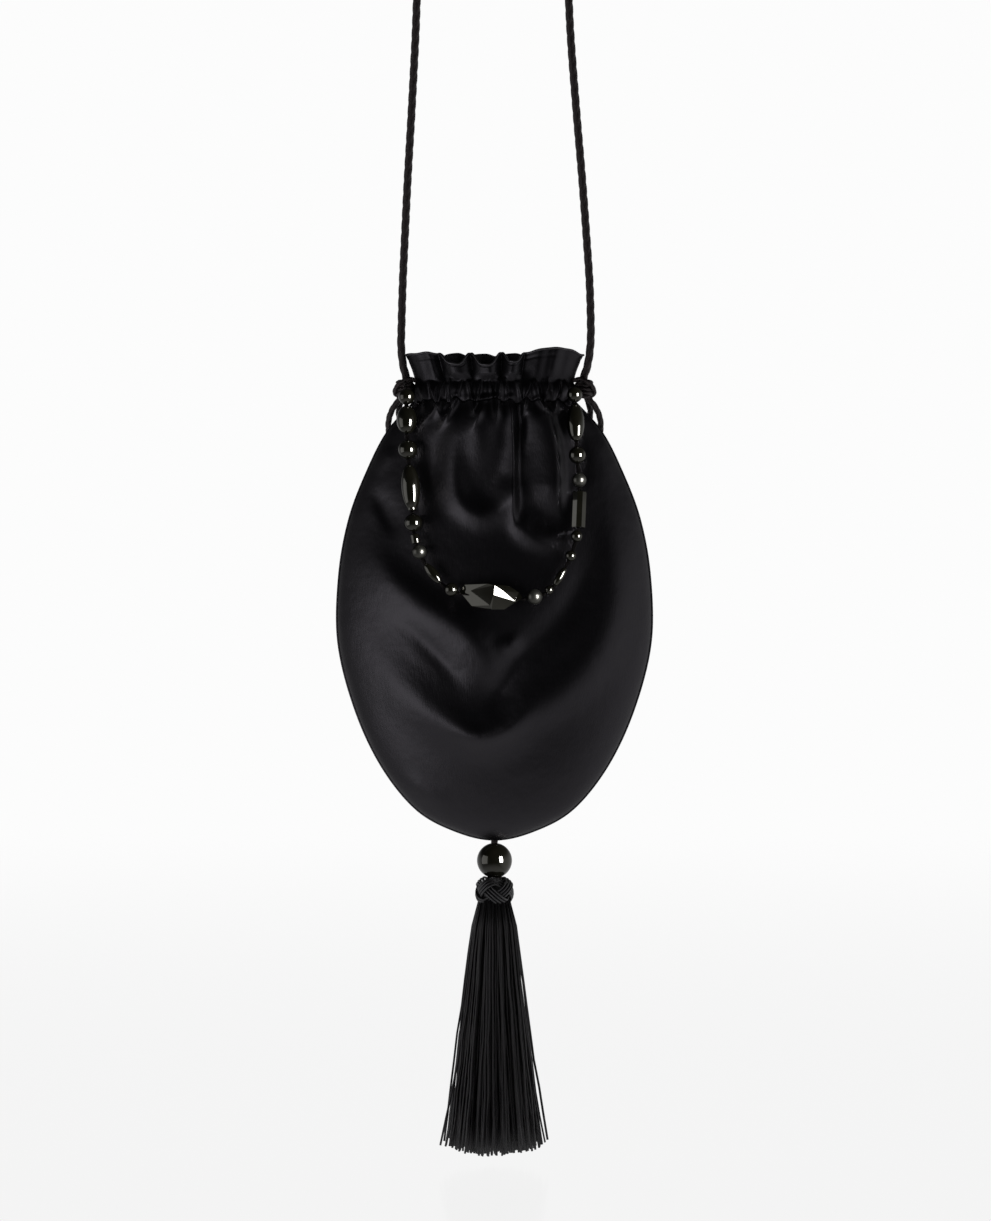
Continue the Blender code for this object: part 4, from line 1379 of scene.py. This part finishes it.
@dataclass
class BeadedHandle:
    """The string of beads in front of the bag, with a wound knot at each gap."""

    bore: float = 1.8 * MM
    thread: float = 1.0 * MM
    knot_thread: float = 0.7 * MM
    segments: int = 40
    beads: tuple[Bead, ...] = (
        Bead(Form.ROUND, 9.1, 9.1), Bead(Form.OVAL, 16.8, 11.4), Bead(Form.ROUND, 11.0, 11.0),
        Bead(Form.COLLARED, 26.8, 10.8), Bead(Form.ROUND, 10.3, 10.3), Bead(Form.TUBE, 5.1, 5.1),
        Bead(Form.ROUND, 8.2, 8.2, True), Bead(Form.OVAL, 14.2, 5.7), Bead(Form.ROUND, 7.7, 7.7),
        Bead(Form.NUGGET, 35.7, 14.8), Bead(Form.ROUND, 8.8, 8.8, True), Bead(Form.ROUND, 5.1, 5.1),
        Bead(Form.OVAL, 12.2, 4.5), Bead(Form.ROUND, 6.2, 6.2), Bead(Form.ROUND, 6.6, 6.6),
        Bead(Form.FACETED_TUBE, 20.5, 8.1), Bead(Form.ROUND, 8.2, 8.2, True),
        Bead(Form.ROUND, 9.7, 9.7), Bead(Form.OVAL, 22.8, 10.0), Bead(Form.ROUND, 8.8, 8.8),
    )
    # the nugget's corners: along to the right and up as shares, then millimetres forward
    corners: tuple[tuple[float, float, float], ...] = (
        (-1.00, 0.17, -2.5), (-0.88, 0.76, -0.8), (-0.12, 0.99, 5.9), (0.54, 0.96, -1.0),
        (0.86, 0.54, -2.0), (1.00, 0.17, 0.0), (0.46, -0.86, 1.2), (0.06, -0.95, 3.8),
        (-0.58, -0.84, 0.4), (-0.67, 0.31, 1.0), (0.08, 0.90, 6.2), (0.08, 0.17, 6.5),
        (0.00, -0.67, 5.9), (0.76, -0.16, 0.6), (-0.45, 0.05, -6.0), (0.42, 0.02, -6.2),
        (0.38, 0.52, 4.0),
    )
    facets: tuple[tuple[int, ...], ...] = (
        (9, 12, 11), (9, 11, 10), (9, 10, 2), (1, 9, 2), (0, 9, 1), (0, 8, 9), (9, 8, 12),
        (11, 13, 16), (11, 16, 10), (10, 16, 3), (16, 4, 3), (16, 13, 4), (4, 13, 5),
        (2, 10, 3), (11, 12, 7), (11, 7, 6), (11, 6, 13), (13, 6, 5), (8, 7, 12),
        (0, 1, 14), (1, 2, 14), (2, 15, 14), (2, 3, 15),
        (3, 4, 15), (4, 5, 15), (5, 6, 15), (6, 7, 15), (7, 14, 15), (7, 8, 14), (8, 0, 14),
    )
    tube_facets: int = 8
    tube_edge: float = 0.07
    # the collared bead's lip: radius and height over the bead's lower end
    lip: Route = ((2.3 * MM, 1.5 * MM), (2.5 * MM, 0.9 * MM), (2.3 * MM, 0.3 * MM))
    lip_root: float = 1.6 * MM
    cut_crease: float = 12.0
    tube_crease: float = 24.0
    flat_facet: float = 5.0
    edge_bevel: float = 0.22 * MM
    tie_rise: float = 1.0 * MM
    # how far forward and up the thread bends before it is tied, and the ball at its bend
    tie_bend: tuple[float, float] = (0.5 * MM, 2.6 * MM)
    tie_ball: float = 1.15 * MM
    # the wound knots: pitch in thicknesses of thread, steps to a turn, reach and inset
    knot_pitch: float = 0.9
    knot_steps: int = 12
    knot_reach: tuple[float, float] = (0.75 * MM, 0.25 * MM)
    knot_inset: float = 0.35 * MM
    places: list[BeadPlace] = field(default_factory=list)

    def __post_init__(self) -> None:
        """Read each bead's place from the frame."""
        middles = [middle_of(self.node(number))[0] for number in range(1, len(self.beads) + 1)]
        for number, (bead, middle) in enumerate(zip(self.beads, middles)):
            before = middles[max(0, number - 1)]
            after = middles[min(len(middles) - 1, number + 1)]
            axis = (after - before).normalized()
            if bead.length > 1.2 * bead.diameter:
                axis = self.long_axis(number + 1, axis)
            self.places.append((middle, axis, bead.length * MM / 2, bead.diameter * MM / 2))

    def node(self, number: int) -> str:
        """Name of a bead's node."""
        return f"handle_bead_{number:02d}"

    def long_axis(self, number: int, guide: Vector) -> Vector:
        """Direction of a long bead, from its solid in the frame.

        Args:
            number: the bead's number.
            guide: the way that the string runs there.

        Returns:
            The direction, along the string.
        """
        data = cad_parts[self.node(number)].data
        points = np.array([vert.co for vert in data.vertices])
        points = points - (points.min(axis=0) + points.max(axis=0)) / 2
        axis = Vector(np.linalg.svd(points, full_matrices=False)[2][0])
        return axis if axis.dot(guide) > 0 else -axis

    def build(self, polished: bpy.types.Material, dull: bpy.types.Material,
              thread: bpy.types.Material) -> None:
        """All the beads and the thread.

        Args:
            polished: the finish of the shining beads.
            dull: the finish of the dull ones.
            thread: the finish of the thread.
        """
        for number, (bead, place) in enumerate(zip(self.beads, self.places), 1):
            mesh = new_mesh()
            if bead.form is Form.NUGGET:
                self.cut_nugget(mesh, bead)
                crease = self.cut_crease
            else:
                steps = self.tube_facets if bead.form is Form.FACETED_TUBE else self.segments
                add_turned(mesh, self.profile(bead), steps)
                crease = self.tube_crease if bead.form in (Form.FACETED_TUBE, Form.TUBE) else None
            middle, axis, _, _ = place
            spin = (-axis).to_track_quat("Z", "Y").to_matrix().to_4x4()
            bmesh.ops.transform(mesh, matrix=Matrix.Translation(middle) @ spin, verts=mesh.verts)
            material, slot = (dull, Slot.MATTE) if bead.dull else (polished, Slot.POLISHED)
            add_piece(f"bead_{number:02d}_{bead.form.value.replace(' ', '_')}", mesh, material, slot,
                      (self.node(number),), crease)
        self.string_thread(thread)

    def profile(self, bead: Bead) -> Route:
        """Outline of a bead's outer side, down from the bore's top edge.

        Args:
            bead: the bead.

        Returns:
            The radius and the height of each point.
        """
        bore = self.bore / 2
        half = bead.length * MM / 2
        radius = bead.diameter * MM / 2
        if bead.form in (Form.TUBE, Form.FACETED_TUBE):
            edge = self.tube_edge * bead.diameter * MM
            soft = 0.3 * edge
            upper = ((bore, half), (radius - edge, half), (radius - soft, half - soft),
                     (radius, half - edge))
            return *upper, *((reach, -height) for reach, height in reversed(upper))
        points = round_outline(radius, half, bore, 27)
        if bead.form is Form.COLLARED:
            kept = (point for point in points if point[1] > self.lip_root - half)
            points = *kept, *((reach, height - half) for reach, height in self.lip), (bore, -half)
        return points

    def cut_nugget(self, mesh: bmesh.types.BMesh, bead: Bead) -> None:
        """Join the nugget's corners into facets and soften their edges.

        Args:
            mesh: the mesh to add to.
            bead: the nugget.
        """
        length, height = bead.length * MM / 2, bead.diameter * MM / 2
        verts = [mesh.verts.new((forward * MM, up * height, -along * length))
                 for along, up, forward in self.corners]
        for facet in self.facets:
            mesh.faces.new([verts[index] for index in facet])
        bmesh.ops.recalc_face_normals(mesh, faces=mesh.faces)
        bmesh.ops.dissolve_limit(mesh, angle_limit=math.radians(self.flat_facet),
                                 verts=mesh.verts, edges=mesh.edges)
        bmesh.ops.bevel(mesh, geom=mesh.edges[:], offset=self.edge_bevel, offset_type="OFFSET",
                        segments=2, profile=0.5, affect="EDGES", material=-1, clamp_overlap=True)

    def string_thread(self, material: bpy.types.Material) -> None:
        """The thread through every bead, with a wound knot in each gap.

        Args:
            material: its finish.
        """
        mesh = new_mesh()
        points = []
        for middle, axis, half, _ in self.places:
            points += [middle - axis * half, middle + axis * half]
        for node, place in (("side_knot_left", 0), ("side_knot_right", -1)):
            middle, size = middle_of(node)
            tied = Vector((middle.x, middle.y - size.y / 2 - self.thread / 2,
                           middle.z + self.tie_rise))
            forward, up = self.tie_bend
            bend = tied.lerp(points[place], 0.5) + Vector((0, -forward, up))
            pair = [tied, bend]
            points = pair + points if place == 0 else points + pair[::-1]
            ball = bmesh.ops.create_uvsphere(mesh, u_segments=14, v_segments=8,
                                             radius=self.tie_ball)["verts"]
            bmesh.ops.translate(mesh, vec=bend, verts=ball)
        route = np.array([list(point) for point in points])
        add_cord(mesh, even_route(route, 0.9 * MM), Lay(self.thread, sides=8, strands=2,
                                                        turn_length=0.003))
        for first, second in zip(self.places, self.places[1:]):
            self.wind_knot(mesh, first[0] + first[1] * first[2], second[0] - second[1] * second[2])
        add_piece("handle_thread_knotted", mesh, material, Slot.THREAD, ("handle_thread",))

    def wind_knot(self, mesh: bmesh.types.BMesh, start: Vector, end: Vector) -> None:
        """Turns of thread round the string between two beads.

        Args:
            mesh: the mesh to add to.
            start: where the first bead ends.
            end: where the next bead starts.
        """
        way = end - start
        turns = max(1.0, way.length / (self.knot_pitch * self.knot_thread))
        count = max(10, round(turns * self.knot_steps))
        share = np.linspace(0.0, 1.0, count)
        side = way.orthogonal().normalized()
        other = way.normalized().cross(side)
        angle = 2 * math.pi * turns * share
        low, swell = self.knot_reach
        reach = low + swell * np.sin(math.pi * share)
        inset = min(0.2, self.knot_inset / max(way.length, 1e-6))
        along = inset + (1 - 2 * inset) * share
        points = (np.array(start) + along[:, None] * np.array(way)
                  + (reach * np.cos(angle))[:, None] * np.array(side)
                  + (reach * np.sin(angle))[:, None] * np.array(other))
        add_cord(mesh, points, Lay.smooth(self.knot_thread, 6))


@dataclass
class Tassel:
    """The large bead, the woven knot and the fringe below the bag's point."""

    cord: float = 4.0 * MM
    bead_bore: float = 4.6 * MM
    head_cord: float = 1.40 * MM
    head_leads: int = 3
    head_bights: int = 4
    head_ply: int = 4
    head_reach: float = 0.80
    head_squareness: float = 2.3
    head_start: float = 0.55
    head_spacing: float = 1.22
    head_weave: float = 0.75
    head_core: float = 0.90
    # how far the ball's sides and its top lie past its solid's, in thicknesses of its cord
    head_fit: tuple[float, float] = (-0.6, 0.4)
    # the collar's rings: thickness and inset as shares of its height, and their levels
    collar_ring: float = 0.575
    collar_inset: float = 0.275
    collar_levels: tuple[float, float] = (-0.25, 0.25)
    strand: float = 1.2 * MM
    strands: int = 320
    strand_rows: int = 9
    strand_sides: int = 6
    outline: tuple[tuple[float, float], ...] = (
        (0.00, 0.34), (0.05, 0.42), (0.14, 0.52), (0.30, 0.62),
        (0.50, 0.76), (0.72, 0.92), (0.88, 1.04), (1.00, 1.14),
    )
    ragged: float = 2.6 * MM
    short_rim: float = 5.5 * MM
    strays: int = 14
    stray_reach: float = 3.6 * MM
    stray_start: float = 0.55
    bow: float = 0.7 * MM
    wobble: float = 0.35 * MM
    swing: float = 0.05
    thickness: tuple[float, float] = (0.85, 1.1)
    end_gap: float = 1.6 * MM
    tuck: float = 3.0 * MM
    seed: int = 11

    def build(self, polished: bpy.types.Material, cord: bpy.types.Material,
              woven: bpy.types.Material, yarn: bpy.types.Material) -> None:
        """Every piece of the tassel, from the top down.

        Args:
            polished: the finish of the bead.
            cord: the finish of the cord and the collar.
            woven: the finish of the woven knot.
            yarn: the finish of the fringe.
        """
        self.build_cord(cord)
        self.build_bead(polished)
        self.build_collar(cord)
        self.build_head(woven)
        self.build_fringe(yarn)

    def build_cord(self, material: bpy.types.Material) -> None:
        """The short cord from the bag's point into the knot.

        Args:
            material: its finish.
        """
        middle, size = middle_of("tassel_cord")
        ends = [middle + Vector((0, 0, size.z / 2)), middle - Vector((0, 0, size.z / 2))]
        mesh = new_mesh()
        add_cord(mesh, even_route(np.array(ends), 0.7 * MM), Lay(self.cord, turn_length=0.016))
        add_piece("tassel_cord_laid", mesh, material, Slot.CORD, ("tassel_cord",))

    def build_bead(self, material: bpy.types.Material) -> None:
        """The large round bead, turned round its bore.

        Args:
            material: its finish.
        """
        middle, size = middle_of("tassel_bead")
        mesh = new_mesh()
        add_turned(mesh, round_outline(size.x / 2, size.x / 2, self.bead_bore / 2, 41), 64)
        bmesh.ops.translate(mesh, vec=middle, verts=mesh.verts)
        add_piece("tassel_bead_polished", mesh, material, Slot.POLISHED, ("tassel_bead",))

    def build_collar(self, material: bpy.types.Material) -> None:
        """The dark ribbed ring under the bead.

        Args:
            material: its finish.
        """
        middle, size = middle_of("tassel_collar")
        reach = size.x / 2 - size.z * self.collar_inset
        mesh = new_mesh()
        for level in self.collar_levels:
            turn = np.linspace(0.0, 2 * math.pi, 120) + math.pi / 2
            points = np.stack([middle.x + reach * np.cos(turn), middle.y + reach * np.sin(turn),
                               np.full_like(turn, middle.z + level * size.z)], axis=1)
            add_cord(mesh, points, Lay(size.z * self.collar_ring, sides=12, turn_length=0.0040,
                                       groove=0.3))
        add_piece("tassel_collar_wound", mesh, material, Slot.CORD, ("tassel_collar",))

    def build_head(self, material: bpy.types.Material) -> None:
        """The woven ball: three leads of four cords each, over and under.

        Args:
            material: its finish.
        """
        middle, size = middle_of("tassel_knot")
        wide, tall = (half + fit * self.head_cord
                      for half, fit in zip((size.x / 2, size.z / 2), self.head_fit))
        mesh = new_mesh()
        time = np.linspace(0.0, 2 * math.pi, 331)
        turn = self.head_leads * time + self.head_start
        slope = self.head_reach * np.sin(self.head_bights * time)
        spine = np.stack([wide * np.cos(slope) * np.cos(turn), wide * np.cos(slope) * np.sin(turn),
                          tall * np.sin(slope)], axis=1)
        ball = np.array([wide, wide, tall])
        outward = spine / ball ** 2
        outward /= np.linalg.norm(outward, axis=1)[:, None]
        tangent = np.roll(spine[:-1], -1, axis=0) - np.roll(spine[:-1], 1, axis=0)
        tangent = np.vstack([tangent, tangent[:1]])
        tangent /= np.linalg.norm(tangent, axis=1)[:, None]
        beside = np.cross(outward, tangent)
        weave = np.sin(2 * self.head_bights * time)
        for ply in range(self.head_ply):
            offset = (ply - (self.head_ply - 1) / 2) * self.head_cord * self.head_spacing
            points = self.squared(spine + beside * offset, wide, tall)
            points = points + outward * (weave * self.head_cord * self.head_weave)[:, None]
            add_cord(mesh, points + np.array(middle), Lay.smooth(self.head_cord, 10))
        core = bmesh.ops.create_uvsphere(mesh, u_segments=32, v_segments=18, radius=1.0)["verts"]
        shape = self.squared(np.array([vert.co for vert in core]), wide, tall)
        for vert, point in zip(core, self.head_core * shape + np.array(middle)):
            vert.co = point
        add_piece("tassel_knot_woven", mesh, material, Slot.CORD, ("tassel_knot",))

    def squared(self, points: np.ndarray, wide: float, tall: float) -> np.ndarray:
        """Points moved in or out onto the head's slightly squared ball.

        Args:
            points: points about the ball's middle.
            wide: half its width.
            tall: half its height.

        Returns:
            The moved points.
        """
        flat = np.hypot(points[:, 0], points[:, 1]) / wide
        power = self.head_squareness
        reach = (flat ** power + np.abs(points[:, 2] / tall) ** power) ** (1 / power)
        return points / reach[:, None]

    def build_fringe(self, material: bpy.types.Material) -> None:
        """The fringe of thick soft strands with uneven ends.

        Args:
            material: its finish.
        """
        middle, size = middle_of("tassel_fringe")
        top = middle.z + size.z / 2 + self.tuck
        length = size.z - self.ragged + self.tuck - self.end_gap
        draw = np.random.default_rng(self.seed)
        outline = smooth_rows(self.outline, 4)
        golden = math.pi * (3 - math.sqrt(5))
        mesh = new_mesh()
        rows = self.strand_rows
        for number in range(self.strands):
            spread = math.sqrt((number + 0.5) / self.strands)
            turn = number * golden
            reach = length + draw.uniform(-1.0, 0.4) * self.ragged - self.short_rim * spread ** 3
            share = np.linspace(0.0, 1.0, rows + 1)
            outer = np.interp(share, outline[:, 0], outline[:, 1]) * (size.x / 2 - self.strand / 2)
            outer = outer * (spread + draw.uniform(-0.03, 0.03))
            bow = draw.normal(0.0, self.bow, 2)
            wave = draw.normal(0.0, self.wobble, (rows + 1, 2)) * share[:, None] ** 0.5
            if number >= self.strands - self.strays and number % 2:
                outer = outer + self.stray_reach * smooth_step(self.stray_start, 1.05, share)
            swing = turn + draw.normal(0.0, self.swing) * share
            x = outer * np.cos(swing) + bow[0] * np.sin(math.pi * share) + wave[:, 0]
            y = outer * np.sin(swing) + bow[1] * np.sin(math.pi * share) + wave[:, 1]
            points = np.stack([x, y, top - share * reach], axis=1)
            thickness = self.strand * draw.uniform(*self.thickness)
            add_cord(mesh, points, Lay.smooth(thickness, self.strand_sides))
        add_piece("tassel_fringe_strands", mesh, material, Slot.FRINGE, ("tassel_fringe",))


def main() -> None:
    """Build the studio and every sub-assembly of the pouch."""
    logging.basicConfig(level=logging.INFO, format="%(message)s")
    frame_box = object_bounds()
    studio = Studio()
    studio.place_camera()
    cord = CordFinish("laid_cord").material()
    thread = CordFinish("waxed_thread", pale=(0.004, 0.004, 0.004), specular=0.2, sheen=0.0).material()
    yarn = CordFinish("silk_yarn", pale=(0.030, 0.029, 0.031), specular=0.60, yarn_turn=0.6,
                      tint=(0.98, 0.96, 1.0)).material()
    satin = SatinFinish().material()
    polished = StoneFinish("polished_stone").material()
    dull = StoneFinish("dull_stone", roughness=(0.26, 0.36), pale=(0.004, 0.004, 0.0035)).material()
    ShoulderCord().build(cord)
    DrawstringLoops().build(cord)
    SideKnots().build(cord)
    handle = BeadedHandle()
    # the inner face: its duller gloss is its own; its colour, ten times the satin's, is painted light
    # falling into the frill's mouths
    inner_face_painted_light = SatinFinish("satin_wrong_side_painted_light", roughness=(0.55, 0.65), specular=0.30,
                            deep=(0.016, 0.015, 0.016), pale=(0.034, 0.032, 0.034)).material()
    # the rolled hem: its higher gloss is real; its colour, several times lighter than the satin's, is a
    # painted highlight along the frill's rim
    hem = SatinFinish("satin_hem_painted_highlight", deep=(0.010, 0.0095, 0.010), pale=(0.026, 0.025, 0.026),
                      specular=0.8).material()
    gathered = SatinFinish("gathered_satin", specular=0.34, roughness=(0.37, 0.46)).material()
    SilkBag(beads=handle.places).build(satin, gathered, inner_face_painted_light, hem)
    handle.build(polished, dull, thread)
    woven = CordFinish("woven_cord", deep=(0.002, 0.0018, 0.002), pale=(0.012, 0.011, 0.0115),
                       roughness=0.30, specular=0.9, tint=(0.97, 0.96, 1.0)).material()
    Tassel().build(polished, cord, woven, yarn)
    studio.light_room()
    studio.hang_softboxes()
    studio.lay_floor(frame_box[0][2])


if __name__ == "__main__":
    main()
